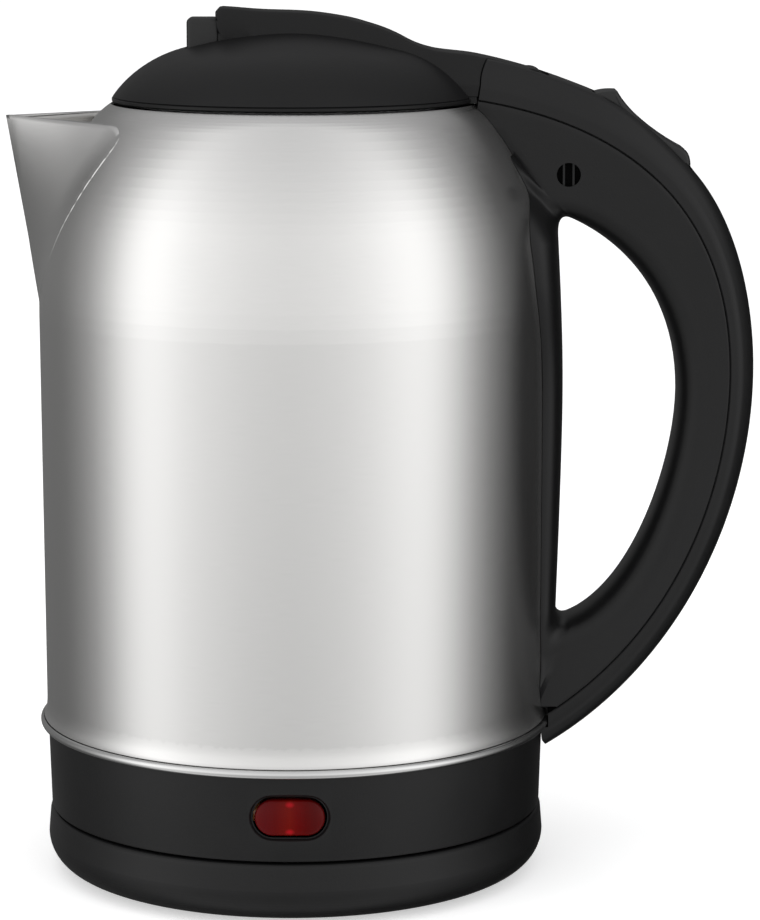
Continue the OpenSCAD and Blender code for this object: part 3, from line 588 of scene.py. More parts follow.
PLASTIC_GRAIN, grain_in, grain_out = new_group("moulded_grain", {"Vector": None, "Size": 5200.0},
                                               {"Grain": "NodeSocketFloat", "Cloud": "NodeSocketFloat"})
g_nodes, g_link = PLASTIC_GRAIN.nodes, PLASTIC_GRAIN.links.new
g_fine = g_nodes.new("ShaderNodeTexNoise")
g_fine.inputs["Detail"].default_value = 3.0
g_link(grain_in.outputs["Vector"], g_fine.inputs["Vector"])
g_link(grain_in.outputs["Size"], g_fine.inputs["Scale"])
g_link(g_fine.outputs["Fac"], grain_out.inputs["Grain"])
g_link(noise_node(g_nodes, g_link, grain_in.outputs["Vector"], 60.0, 3.0, 0.55), grain_out.inputs["Cloud"])


def moulded(name, dark, light, rough_low, rough_high, size, depth, shine=0.4):
    """Satin moulded plastic with a fine grain and a slight cloudiness."""
    material, nodes, link, shader = shader_nodes(name)
    where = nodes.new("ShaderNodeTexCoord").outputs["Object"]
    grain = nodes.new("ShaderNodeGroup")
    grain.node_tree = PLASTIC_GRAIN
    grain.inputs["Size"].default_value = size
    link(where, grain.inputs["Vector"])
    link(tinted(nodes, link, grain.outputs["Cloud"], dark, light), shader.inputs["Base Color"])
    link(ranged(nodes, link, grain.outputs["Cloud"], rough_low, rough_high), shader.inputs["Roughness"])
    bumped(nodes, link, grain.outputs["Grain"], depth, 0.5, shader)
    shader.inputs["Specular IOR Level"].default_value = shine
    return material


BLACK = moulded("black_plastic", (0.005, 0.005, 0.0052), (0.008, 0.008, 0.0083), 0.34, 0.42, 1500.0, 0.00006,
                0.28)
LID_BLACK = moulded("lid_plastic", (0.004, 0.004, 0.0042), (0.0065, 0.0065, 0.0067), 0.4, 0.48, 1500.0,
                    0.00006, 0.24)


def lid_cavity():
    """The hollow under the dome and the crest."""
    hollow = turned([(0, lid_z - 1 * MM), (lid_r - lid_wall, lid_z - 1 * MM)] + dome_line(lid_wall))
    nose = slab([(-17 * MM, mouth_z + 12 * MM), (-17 * MM, mouth_z + 23 * MM), (10 * MM, mouth_z + 22 * MM),
                 (18 * MM, mouth_z + 12 * MM)], 5 * MM)
    return combined(hollow, nose, "UNION")


def beside_tongue():
    """What is cut from the lid behind its rear face, either side of the tongue."""
    rear = combined(rod(hinge, gap_r + 0.4 * MM, 0.03, 128),
                    slab([(hinge[0] - gap_r - 1.8 * MM, lid_z - 2 * MM),
                          (hinge[0] - gap_r - 0.4 * MM, hinge[1]),
                          (hinge[0] + 0.03, hinge[1]), (hinge[0] + 0.03, lid_z - 2 * MM)], 0.03), "UNION")
    tongue = block((hinge[0] - 0.03, -tongue_half, lid_z - 0.03),
                   (hinge[0] + 0.05, tongue_half, lid_z + 0.06))
    return combined(rear, tongue, "DIFFERENCE")


button_low, button_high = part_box("lid_button")
button_half = 6 * MM
button_gap = 0.4 * MM
RIM = [(0, lid_z), (lid_r - 0.4 * MM, lid_z), (lid_r, lid_z + 0.4 * MM), (lid_r, lid_z + 1.1 * MM),
       (lid_r - 0.5 * MM, lid_z + 1.4 * MM)]
lid_bm = combined(turned(RIM + dome_line(0.3 * MM)), lofted(56, 110, crest_skin), "UNION")
lid_bm = combined(lid_bm, lid_cavity(), "DIFFERENCE")
lid_bm = combined(lid_bm, block((button_low.x - button_gap, -button_half - button_gap, lid_z + 2 * MM),
                                (button_high.x + button_gap, button_half + button_gap,
                                 button_high.z + button_gap)), "DIFFERENCE")
lid_bm = combined(lid_bm, block((button_low.x - button_gap, -0.03, button_high.z),
                                (-22.6 * MM, 0.03, lid_z + 40 * MM)), "DIFFERENCE")
lid_bm = combined(lid_bm, beside_tongue(), "DIFFERENCE")
lid_bm = combined(lid_bm, rod(hinge, barrel_r, tongue_half - 0.02 * MM), "UNION")
rear_sill = block((45 * MM, -13 * MM, lid_z + 0.02 * MM), (53.25 * MM, 13 * MM, mouth_z + 4 * MM))
lid_bm = combined(lid_bm, rear_sill, "UNION")
lid_bm = combined(lid_bm, rod(hinge, pin_r + 0.05 * MM, 0.04), "DIFFERENCE")
made("lid_shell", lid_bm, LID_BLACK, "lid", ["lid_dome"])

# Release button: a plain moulded block with rounded edges that stands in a slot of the dome, on
# a flange that keeps it from coming out. It goes down and draws the latch back.
DARK = moulded("dark_plastic", (0.006, 0.006, 0.0062), (0.01, 0.01, 0.0103), 0.34, 0.42, 1500.0, 0.00005)
flange_t = 1.5 * MM
block_foot = mouth_z + 9.5 * MM
button_bm = block((button_low.x, -button_half, block_foot - flange_t),
                  (button_high.x, button_half, button_high.z),
                  1.4 * MM, 5)
button_bm = combined(button_bm, block((button_low.x, button_low.y, block_foot),
                                      (button_high.x, button_high.y, block_foot + flange_t)), "UNION")
made("release_button", button_bm, DARK, "button", ["lid_button"])

# Handle: two mouldings in black polypropylene that meet at a seam. The inner frame goes round the
# finger gap, hugs the body as a spine and flares into a root on the shoulder. The outer cover is
# the back of the grip; its front is two ears that hold the hinge pin.
cover_low, cover_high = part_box("handle_cover")
frame_low, frame_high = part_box("handle_frame")
back_x = cover_high.x
seam_x = frame_high.x
inner_x = back_x - 22.7 * MM
mid_z = (ring_z + mouth_z) / 2 + 13 * MM
gap_top = mouth_z - 33.6 * MM
gap_low = ring_z + 32.5 * MM
GRIP_EDGE = 12.6 * MM
GRIP_ROUND = 9 * MM
seam_bevel = 0.35 * MM
seam_lip = 0.5 * MM


def up(x, z):
    """A point near the mouth, in millimetres out from the body's side and up from its mouth."""
    return (body_r + x * MM, mouth_z + z * MM)


def low(x, z):
    """A point near the foot, in millimetres out from the body's side and up from its bead."""
    return (body_r + x * MM, ring_z + z * MM)


def eased(t):
    """A share from 0 to 1 that starts and ends slowly."""
    t = min(1, max(0, t))
    return t * t * (3 - 2 * t)


def along(line, share):
    """The point at a share of the way along a line of points, by length."""
    steps = [(Vector(b) - Vector(a)).length for a, b in zip(line, line[1:])]
    left = share * sum(steps)
    for a, b, step in zip(line, line[1:], steps):
        if left <= step:
            return tuple(p + (q - p) * left / step for p, q in zip(a, b))
        left -= step
    return line[-1]


SEAM_TOP = curve([up(-23, 1.5), up(22.9, -5.4), (seam_x, mid_z + 48.7 * MM), (seam_x, mid_z)], 48)
SEAM_LOW = curve([(seam_x, mid_z), (seam_x, mid_z - 35.6 * MM), low(36.5, 25.3), low(-5, 1)], 40)
GAP_OUT = curve([up(6.2, -33.6), (inner_x - 10.5 * MM, gap_top - 9.7 * MM), (inner_x, mid_z + 16.3 * MM),
                 (inner_x, mid_z - 6 * MM)], 48)
GAP_LOW = curve([(inner_x, mid_z - 6 * MM), (inner_x, mid_z - 26.3 * MM),
                 (inner_x - 11.1 * MM, gap_low + 9.8 * MM), low(7.6, 32.2)], 40)
GAP_FOOT = curve([low(7.6, 32.2), low(4.6, 30.6), low(2.4, 31.6), low(2.6, 35.5)], 12)
# Front of the spine: how far it stands out from the body's side, by height over the bead
SPINE_FRONT = [(35.5, 2.6), (62.8, 3.5), (92.9, 4.2), (110.8, 4.1), (128.7, 3.4), (140.6, 2.8), (144.6, 2.6)]
GAP_HEAD = curve([low(2.6, 144.6), low(2.4, 149.4), low(3.4, 151.6), up(6.2, -33.6)], 14)
# Half angle of the handle's root and spine on the body, in degrees, by height over the bead
ROOT_ANGLE = [(8.9, 13.3), (36, 12.8), (68, 13.3), (98, 13.9), (113, 15.6), (122, 18.0), (131, 20.1),
              (143, 20.8), (151, 20.7), (162, 21.1), (169, 21.3), (174, 21.6), (177.5, 21.4), (180.7, 20),
              (182.8, 18), (184.4, 14)]


def on_root(height):
    """Where the handle's edge meets the body at a height over the bead, a little inside its wall."""
    z = ring_z + height * MM
    r = radius_at(z) - 0.8 * MM
    angle = between(ROOT_ANGLE, height)
    return (r * cos(angle), r * sin(angle), z)


def frame_station(v):
    """At v, from 0 to 1 round the gap: the gap's edge, the outer edge, its half width, round and hollow."""
    part = v * 5
    k = min(int(part), 4)
    t = part - k
    if k == 0:
        seam = along(SEAM_TOP, t)
        return along(GAP_OUT, t ** 1.7), (seam[0], grip_half, seam[1]), GRIP_EDGE, GRIP_ROUND, 1
    if k == 1:
        seam = along(SEAM_LOW, t)
        return along(GAP_LOW, 1 - (1 - t) ** 1.5), (seam[0], grip_half, seam[1]), GRIP_EDGE, GRIP_ROUND, 1
    if k == 2:
        edge = along(GAP_FOOT, t)
        start = Vector((SEAM_LOW[-1][0], grip_half, SEAM_LOW[-1][1]))
        if t < 0.2:
            outer = start.lerp(Vector(on_root(8.9)), t / 0.2)
        else:
            outer = Vector(on_root(8.9 + (35.5 - 8.9) * (t - 0.2) / 0.8))
        reach = (Vector((edge[0], 0, edge[1])) - Vector((outer.x, 0, outer.z))).length
        s = eased(t) ** 1.5
        return (edge, tuple(outer), GRIP_EDGE + (outer.y - GRIP_EDGE) * s,
                GRIP_ROUND + (reach - GRIP_ROUND) * s, 1 + 1.4 * sin(180 * t))
    if k == 3:
        height = 35.5 + (144.6 - 35.5) * t
        outer = on_root(height)
        edge = low(between(SPINE_FRONT, height), height)
        return edge, outer, outer[1], edge[0] - outer[0], 1
    edge = along(GAP_HEAD, t)
    start = Vector((SEAM_TOP[0][0], grip_half, SEAM_TOP[0][1]))
    if t < 0.9:
        outer = Vector(on_root(144.6 + (184.4 - 144.6) * t / 0.9))
    else:
        outer = Vector(on_root(184.4)).lerp(start, (t - 0.9) / 0.1)
    reach = (Vector((edge[0], 0, edge[1])) - Vector((outer.x, 0, outer.z))).length
    s = 1 - eased(t * 1.6)
    return (edge, tuple(outer), GRIP_EDGE + (outer.y - GRIP_EDGE) * s, GRIP_ROUND + (reach - GRIP_ROUND) * s,
            1 + 1.6 * (1 - eased((t - 0.25) / 0.6)) * eased(t * 4))


def frame_skin(u, v):
    """u runs round the section: from the middle of the gap's edge out to the seam, over it, and back."""
    edge, outer, half, bend, hollow = frame_station(v if v < 1 else 0)
    turn = 2 * u - 1
    away = 1 - abs(turn)
    reach = math.hypot(outer[0] - edge[0], outer[2] - edge[1])
    bend = min(bend, reach)
    groove = min(seam_bevel, (reach - bend) / 4)
    tongue = min(seam_lip, (reach - bend) / 4)
    if away < 0.4:
        angle = 90 * away / 0.4
        power = 0.7
        n, y = bend * (1 - cos(angle) ** power), half * sin(angle) ** power
    elif away < 0.9:
        t = (away - 0.4) / 0.46 if away < 0.86 else 1
        n = bend + (reach - bend - groove) * t
        y = half + (outer[1] - half) * t ** hollow
        if away > 0.86:
            n = reach - groove * (0.9 - away) / 0.04
            y -= groove * (away - 0.86) / 0.04
    else:
        inside = min(1, (away - 0.9) / 0.02)
        n = reach + tongue * inside
        y = max(0, (outer[1] - groove) * (1 - max(0, away - 0.92) / 0.08) - tongue * inside)
    share_out = n / reach
    return (edge[0] + (outer[0] - edge[0]) * share_out, math.copysign(y, turn),
            edge[1] + (outer[2] - edge[1]) * share_out)


def body_plug(gap):
    """The space of the body and of its bead, with a gap round it, for cutting what lies on the body."""
    bead = ring_z - gap
    outline = [(0, body_z - 0.03), (low_r + 0.2 * MM, body_z - 0.03), (low_r + 0.2 * MM, bead),
               (low_r + 2.3 * MM, bead), (low_r + 2.3 * MM, body_z + 1 * MM)]
    outline += [(radius_at(body_z + 1 * MM) + gap, body_z + 1 * MM)]
    return turned(outline + [(r + gap, z) for r, z in BODY_LINE if z > body_z + 1 * MM]
                  + [(BODY_LINE[-1][0] + gap, mouth_z + 0.3 * MM), (0, mouth_z + 0.3 * MM)])


def hinge_room():
    """The room for the lid's tongue and barrel between the ears."""
    slot_half = tongue_half + 0.3 * MM
    back = hinge[0] + barrel_r + 1 * MM
    room = slab([up(-30, 1.7), (hinge[0], hinge[1] - 4.3 * MM), (back, hinge[1]), (back, mouth_z + 0.03),
                 up(-30, 30)], slot_half)
    return combined(room, rod(hinge, barrel_r + 0.4 * MM, slot_half), "UNION")


def ear_room():
    """The room in front of the ears, whose faces are round the pin."""
    front = hinge[0] - gap_r
    room = slab([(body_r - 0.04, mouth_z - 5 * MM), (front - 1.5 * MM, mouth_z - 5 * MM),
                 (front - 0.9 * MM, mouth_z), (front, hinge[1]), (hinge[0] - 4 * MM, hinge[1] + 0.1 * MM),
                 (hinge[0] - 4 * MM, mouth_z + 0.03),
                 (body_r - 0.04, mouth_z + 0.03)], 0.04)
    return combined(room, rod(hinge, gap_r, 0.05, 128), "DIFFERENCE")


vent_r = 3.5 * MM
vent_bar = 0.3 * MM
vent_floor, vent_top, vent_deep = 9.7 * MM, 12.2 * MM, 9 * MM
vent_at = (body_r + 5.1 * MM, mouth_z - 20.2 * MM)
frame_bm = lofted(80, 150, frame_skin)
frame_bm = combined(frame_bm, body_plug(0.1 * MM), "DIFFERENCE")
frame_bm = combined(frame_bm, hinge_room(), "DIFFERENCE")
frame_bm = combined(frame_bm, ear_room(), "DIFFERENCE")
for side_of in (-1, 1):
    grille = rod(vent_at, vent_r, vent_deep / 2)
    bmesh.ops.translate(grille, vec=(0, side_of * (vent_floor + vent_deep / 2), 0), verts=grille.verts)
    for bar_x in (-0.4 * vent_r, 0.4 * vent_r):
        x = vent_at[0] + bar_x
        ends = sorted((side_of * (vent_floor - 1 * MM), side_of * vent_top))
        grille = combined(grille, block((x - vent_bar, ends[0], vent_at[1] - vent_r - 1 * MM),
                                        (x + vent_bar, ends[1], vent_at[1] + vent_r + 1 * MM)), "DIFFERENCE")
    frame_bm = combined(frame_bm, grille, "DIFFERENCE")
notch_x, notch_z = low_r + 4.6 * MM, ring_z + 6.2 * MM
notch = slab([(body_r - 0.01, ring_z), (notch_x - 0.6 * MM, ring_z), (notch_x, ring_z + 2 * MM),
              (notch_x - 0.4 * MM, notch_z - 0.8 * MM), (notch_x - 1.2 * MM, notch_z),
              (body_r - 0.01, notch_z)], 0.03)
notch_wall = block((body_r - 0.02, -5 * MM, ring_z - 0.01), (notch_x + 0.01, 5 * MM, notch_z + 0.01))
notch = combined(notch, notch_wall, "DIFFERENCE")
frame_bm = combined(frame_bm, notch, "DIFFERENCE")
made("grip_frame", frame_bm, BLACK, "kettle", ["handle_frame"])
# Painted shade: a near-black disc, with the bars' shapes cut out, sits on the floor of each vent bore so the
# slots read dark. It is a dark sheet put where there is only shade.
SHADE, shade_nodes, shade_link, shade_shader = shader_nodes("vent_shade")
shade_where = shade_nodes.new("ShaderNodeTexCoord").outputs["Object"]
shade_tone = tinted(shade_nodes, shade_link, noise_node(shade_nodes, shade_link, shade_where, 900.0),
                    (0.0008, 0.0008, 0.0008), (0.0014, 0.0014, 0.0014))
shade_link(shade_tone, shade_shader.inputs["Base Color"])
shade_shader.inputs["Roughness"].default_value = 0.9
shade_shader.inputs["Specular IOR Level"].default_value = 0.1
# The painted shade discs, one behind each side's slots.
for side_of, name in ((-1, "vent_shade_disc_near"), (1, "vent_shade_disc_far")):
    shade_disc_bm = rod(vent_at, vent_r - 0.03 * MM, 0.5 * MM)
    bmesh.ops.translate(shade_disc_bm, vec=(0, side_of * (vent_floor + 0.52 * MM), 0), verts=shade_disc_bm.verts)
    for bar_x in (-0.4 * vent_r, 0.4 * vent_r):
        x = vent_at[0] + bar_x
        shade_disc_bm = combined(shade_disc_bm, block((x - vent_bar - 0.02 * MM, -0.02, vent_at[1] - 0.006),
                                          (x + vent_bar + 0.02 * MM, 0.02, vent_at[1] + 0.006)), "DIFFERENCE")
    made(name, shade_disc_bm, SHADE, "kettle")

BACK = (curve([up(-25, 14.1), up(-14, 13.8), up(1, 8.2), up(11.5, 4.1)], 24)
        + curve([up(11.5, 4.1), up(22, 0), up(32, -9), up(41.2, -18.4)], 12)[1:]
        + curve([up(42.4, -20), up(55.3, -34.6), (back_x, mid_z + 20.8 * MM), (back_x, mid_z)], 30)
        + curve([(back_x, mid_z), (back_x, mid_z - 44.3 * MM), low(38, 15), low(-1.1, -7.5)], 40)[1:])
SEAM = SEAM_TOP + SEAM_LOW[1:]


def over_seam(share):
    """The seam's point at a share of its length, the way out of it, and the cover's thickness there."""
    at = Vector((*along(SEAM, share), 0))
    step = Vector((*along(SEAM, min(1, share + 0.01)), 0)) - Vector((*along(SEAM, max(0, share - 0.01)), 0))
    out = Vector((-step.y, step.x, 0)).normalized()
    best = None
    for a, b in zip(BACK, BACK[1:]):
        p, d = Vector((*a, 0)) - at, Vector((b[0] - a[0], b[1] - a[1], 0))
        cross = out.x * d.y - out.y * d.x
        if abs(cross) > 1e-12:
            reach = (p.x * d.y - p.y * d.x) / cross
            s = (p.x * out.y - p.y * out.x) / cross
            if -1e-6 <= s <= 1 + 1e-6 and reach > 0 and (best is None or reach < best):
                best = reach
    return at, out, best


seam_gap = 0.12 * MM
COVER_ROWS = 120
COVER_STATIONS = [over_seam(i / COVER_ROWS) for i in range(COVER_ROWS + 1)]
for i, (at, out, thick) in enumerate(COVER_STATIONS):
    if thick is None:
        COVER_STATIONS[i] = (at, out, 8.5 * MM if i > COVER_ROWS / 2 else 13 * MM)


def cover_skin(u, v):
    """u runs from the near seam over the back to the far seam and under, v from the ears to the foot."""
    at, out, thick = COVER_STATIONS[round(v * COVER_ROWS)]
    turn = 2 * u - 1
    away = abs(turn)
    share = v
    top = between([(0, 11.4 * MM), (0.18, 10.4 * MM), (0.35, 9.0 * MM), (0.6, 8.6 * MM), (1, 9.5 * MM)], share)
    soft = between([(0, 1.6 * MM), (0.2, 2.2 * MM), (0.4, 4.5 * MM), (0.8, 4.5 * MM), (1, 3 * MM)], share)
    ridge_n, ridge_y = max(thick * 0.42, 2.4 * MM), grip_half - 0.3 * MM
    top_n = thick - 0.5 * MM
    if away < 0.25:
        y = (top - soft) * away / 0.25
        n = thick - 0.2 * MM * (away / 0.25) ** 2
    elif away < 0.55:
        t = (away - 0.25) / 0.3
        start, corner = (top - soft, thick - 0.2 * MM), (top, top_n)
        slope = Vector((ridge_y - top, ridge_n - top_n)).normalized() * soft
        y = start[0] * (1 - t) ** 2 + corner[0] * 2 * t * (1 - t) + (top + slope.x) * t * t
        n = start[1] * (1 - t) ** 2 + corner[1] * 2 * t * (1 - t) + (top_n + slope.y) * t * t
    elif away < 0.8:
        t = (away - 0.55) / 0.25
        slope = Vector((ridge_y - top, ridge_n - top_n)).normalized()
        start = (top + slope.x * soft, top_n + slope.y * soft)
        bend = 1.3 * MM
        end = (grip_half - 0.1 * MM, ridge_n - bend)
        knee = (ridge_y - slope.x * bend, ridge_n - slope.y * bend)
        if t < 0.5:
            y, n = (start[0] + (knee[0] - start[0]) * t / 0.5, start[1] + (knee[1] - start[1]) * t / 0.5)
        else:
            s = (t - 0.5) / 0.5
            y = knee[0] * (1 - s) ** 2 + ridge_y * 2 * s * (1 - s) + end[0] * s * s
            n = knee[1] * (1 - s) ** 2 + ridge_n * 2 * s * (1 - s) + end[1] * s * s
    elif away < 0.9:
        t = (away - 0.8) / 0.1
        y, n = grip_half - 0.1 * MM, (ridge_n - 1.3 * MM) * (1 - t) + (seam_gap + seam_bevel) * t
    elif away < 0.92:
        t = (away - 0.9) / 0.02
        y, n = grip_half - 0.1 * MM - seam_bevel * t, seam_gap + seam_bevel * (1 - t)
    else:
        inside = min(1, (away - 0.92) / 0.02)
        y = (grip_half - 0.1 * MM - seam_bevel) * (1 - max(0, away - 0.94) / 0.06) - seam_lip * inside
        y, n = max(0, y), seam_gap + seam_lip * inside
    point = at + out * n
    return (point.x, math.copysign(y, turn), point.y)


def closed_ends(bm):
    """Closes the open ends of a tube."""
    bmesh.ops.holes_fill(bm, edges=[e for e in bm.edges if e.is_boundary])
    return outward(bm)


ROCKER_FRONT, ROCKER_REAR = up(12, 3.7), up(41.3, -18.2)
rocker_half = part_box("switch_rocker")[1].y
pocket = slab([(ROCKER_FRONT[0], ROCKER_FRONT[1] + 0.008), (ROCKER_FRONT[0], ROCKER_FRONT[1] - 0.012),
               (ROCKER_REAR[0] - 0.005, ROCKER_REAR[1] - 0.0095), (ROCKER_REAR[0] + 0.0004, ROCKER_REAR[1]),
               (ROCKER_REAR[0] + 0.006, ROCKER_REAR[1] + 0.01)], rocker_half + 0.4 * MM)
cover_bm = closed_ends(lofted(100, COVER_ROWS, cover_skin))
cover_bm = combined(cover_bm, body_plug(0.1 * MM), "DIFFERENCE")
cover_bm = combined(cover_bm, hinge_room(), "DIFFERENCE")
cover_bm = combined(cover_bm, ear_room(), "DIFFERENCE")
cover_bm = combined(cover_bm, pocket, "DIFFERENCE")
made("grip_cover", cover_bm, BLACK, "kettle", ["handle_cover"])


# Switch: a saddle-shaped rocker in the handle's back, dished for the thumb. Its blunt front stands
# proud of the grip and its rear corner is rounded over. It turns on the axle across the grip.


def rounded_slab(outline, centre, half, edge):
    """A piece 2 * half wide along Y whose (x, z) outline round centre is rounded over at both sides."""
    ring = [Vector((x, 0, z)) for x, z in outline]
    count = len(ring)
    middle = Vector((centre[0], 0, centre[1]))

    def place(u, v):
        i = round(v * count) % count
        before, after = ring[i - 1], ring[(i + 1) % count]
        inward = Vector((before.z - after.z, 0, after.x - before.x)).normalized()
        if inward.dot(middle - ring[i]) < 0:
            inward = -inward
        away = abs(2 * u - 1)
        if away < 0.4:
            return (ring[i].x, (2 * u - 1) / 0.4 * (half - edge), ring[i].z)
        angle = min(90, (away - 0.4) / 0.4 * 90)
        rounded = ring[i] + inward * edge * (1 - cos(angle))
        point = rounded.lerp(middle, max(0, (away - 0.8) / 0.2))
        return (point.x, math.copysign(half - edge + edge * sin(angle), 2 * u - 1), point.z)

    return lofted(30, count, place)


def closed(points, steps=3):
    """A closed outline with each stretch of it cut into steps."""
    return [tuple(a + (b - a) * k / steps for a, b in zip(p, q)) for p, q in zip(points, points[1:] + points[:1])
            for k in range(steps)]


axle_low, axle_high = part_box("rocker_axle")
axle = ((axle_low.x + axle_high.x) / 2, (axle_low.z + axle_high.z) / 2)
front_x, front_z = ROCKER_FRONT
rear_x, rear_z = ROCKER_REAR
BROW = curve([(front_x + 1.2 * MM, front_z - 0.6 * MM), (front_x + 3.6 * MM, front_z + 0.1 * MM),
              (front_x + 5.4 * MM, front_z + 0.1 * MM), (front_x + 7.4 * MM, front_z)], 6)
DISH = curve([(front_x + 7.4 * MM, front_z), (front_x + 11 * MM, front_z - 6.5 * MM),
              (rear_x - 9 * MM, rear_z + 8.5 * MM), (rear_x - 2.5 * MM, rear_z + 5.2 * MM)], 20)[1:]
HEEL = curve([(rear_x - 2.5 * MM, rear_z + 5.2 * MM), (rear_x - 0.8 * MM, rear_z + 4.2 * MM),
              (rear_x - 0.3 * MM, rear_z + 2 * MM), (rear_x - 0.4 * MM, rear_z - 0.2 * MM)], 6)[1:]
UNDER = closed([HEEL[-1], (rear_x - 6 * MM, rear_z - 1.5 * MM), (axle[0] + 2 * MM, axle[1] - 3 * MM),
                (axle[0] - 2 * MM, axle[1] - 3 * MM), (front_x + 0.8 * MM, front_z - 4.5 * MM), BROW[0]])[1:-3]
rocker_bm = rounded_slab(BROW + DISH + HEEL + UNDER, axle, rocker_half, 1.3 * MM)
made("rocker_saddle", rocker_bm, DARK, "rocker", ["switch_rocker"])

# Bead and foot: the body's edge flares out a little and is rolled over a bright steel bead, with a
# narrow groove between them. The black foot housing pushes up inside the bead.
POLISHED = brushed_steel("polished_steel", (0.62, 0.62, 0.615), (0.70, 0.70, 0.695), 0.16, 0.24)
bead_low, bead_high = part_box("trim_ring")
bead_r = bead_high.x
bead_top = bead_high.z
bead_half = (bead_top - bead_low.z) / 2


def bead_outline():
    """The bead's section: a half round with a step back to the groove."""
    centre = (bead_r - bead_half, bead_low.z + bead_half)
    points = [(low_r - 1.6 * MM, bead_low.z)]
    points += [(centre[0] + bead_half * cos(a), centre[1] + bead_half * sin(a)) for a in range(-90, 80, 10)]
    points += [(centre[0] - 0.2 * MM, bead_top - 0.3 * MM), (low_r - 1.6 * MM, bead_top - 0.3 * MM)]
    return points + points[:1]


made("foot_bead", turned(bead_outline(), 192), POLISHED, "kettle", ["trim_ring"])
FLARE = curve([(low_r + 0.02 * MM, body_z + 6 * MM), (low_r + 0.05 * MM, body_z + 3 * MM),
               (low_r + 0.25 * MM, body_z + 1.2 * MM), (low_r + 0.95 * MM, body_z + 0.2 * MM)], 12)
FLARE += [(low_r + 0.9 * MM, body_z + 0.02 * MM), (low_r - 0.3 * MM, body_z + 0.02 * MM),
          (low_r - 0.3 * MM, body_z + 6 * MM)]
made("body_flare", turned(FLARE + FLARE[:1], 192), STEEL, "kettle")

housing_low, housing_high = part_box("bottom_housing")
lens_low, lens_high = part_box("indicator_lens")
foot_z = housing_low.z
lens_z = (lens_low.z + lens_high.z) / 2
lens_half, lens_high_half = 10.1 * MM, 5.15 * MM
housing_t = 2.2 * MM
wall_r = low_r - 0.3 * MM - 0.9 * MM * (housing_high.z - lens_z) / (housing_high.z - foot_z)


def stadium(grow, r, steps=14):
    """The lens's outline, grown all round, at a radius from the kettle's axis."""
    end = lens_half - lens_high_half
    points = []
    for middle, start in ((end, -90), (-end, 90)):
        for i in range(steps + 1):
            angle = start + 180 * i / steps
            reach = max(lens_high_half + grow, 0.05 * MM)
            run = (middle + reach * cos(angle)) / wall_r
            points.append(Vector((r * math.sin(run), -r * math.cos(run), lens_z + reach * sin(angle))))
    return points


def lens_solid(levels):
    """A solid with one stadium section for each (grow, radius) level, from the inside out."""
    bm = bmesh.new()
    rings = [[bm.verts.new(point) for point in stadium(grow, r)] for grow, r in levels]
    for inner, outer in zip(rings, rings[1:]):
        for i in range(len(inner)):
            k = (i + 1) % len(inner)
            bm.faces.new((inner[i], inner[k], outer[k], outer[i]))
    bm.faces.new(rings[0][::-1])
    bm.faces.new(rings[-1])
    return outward(bm)


HOUSING = [(wall_r - 9 * MM, foot_z + 0.2 * MM), (housing_high.x - 1.4 * MM, foot_z),
           (housing_high.x - 1 * MM, foot_z + 0.3 * MM),
           (housing_high.x - 0.8 * MM, foot_z + 0.9 * MM), (housing_high.x, housing_high.z),
           (housing_high.x - housing_t, housing_high.z), (wall_r - housing_t, foot_z + 4 * MM),
           (wall_r - 9 * MM, foot_z + 2.8 * MM)]
housing_bm = turned(HOUSING + HOUSING[:1], 192)
housing_bm = combined(housing_bm, lens_solid([(1.0 * MM, wall_r - 1.5 * MM), (1.1 * MM, wall_r - 0.5 * MM),
                                              (1.5 * MM, wall_r + 0.05 * MM), (2.8 * MM, wall_r + 1.4 * MM)]), "DIFFERENCE")
lens_hole = lens_solid([(0.7 * MM, wall_r - 6 * MM), (0.7 * MM, wall_r + 3 * MM)])
housing_bm = combined(housing_bm, lens_hole, "DIFFERENCE")
made("foot_housing", housing_bm, BLACK, "kettle", ["bottom_housing"])

# Lamp lens: a crowned red window, see-through but deep in colour, with ribs moulded on its inside.
# Two small brighter spots are painted into its colour where the lamp's ends show through it: painted glow.
RED, red_nodes, red_link, red_shader = shader_nodes("red_lens")
red_where = red_nodes.new("ShaderNodeTexCoord").outputs["Object"]
red_split = red_nodes.new("ShaderNodeSeparateXYZ")
red_link(red_where, red_split.inputs[0])
red_run = red_nodes.new("ShaderNodeMapRange")
red_run.inputs["From Min"].default_value = -lens_half
red_run.inputs["From Max"].default_value = lens_half
red_link(red_split.outputs["X"], red_run.inputs["Value"])
red_bands = red_nodes.new("ShaderNodeValToRGB")
BANDS = [(0, (0.09, 0.004, 0.004)), (0.15, (0.075, 0.003, 0.004)), (0.3, (0.08, 0.002, 0.002)),
         (0.5, (0.115, 0.003, 0.001)), (0.6, (0.095, 0.0005, 0.0005)), (0.72, (0.07, 0.0005, 0.0005)),
         (0.85, (0.06, 0.002, 0.002)), (1, (0.08, 0.004, 0.004))]
for i, (place, tone) in enumerate(BANDS):
    stop = red_bands.color_ramp.elements[i] if i < 2 else red_bands.color_ramp.elements.new(0.999)
    stop.position = place
    stop.color = (*tone, 1)
red_link(red_run.outputs[0], red_bands.inputs[0])
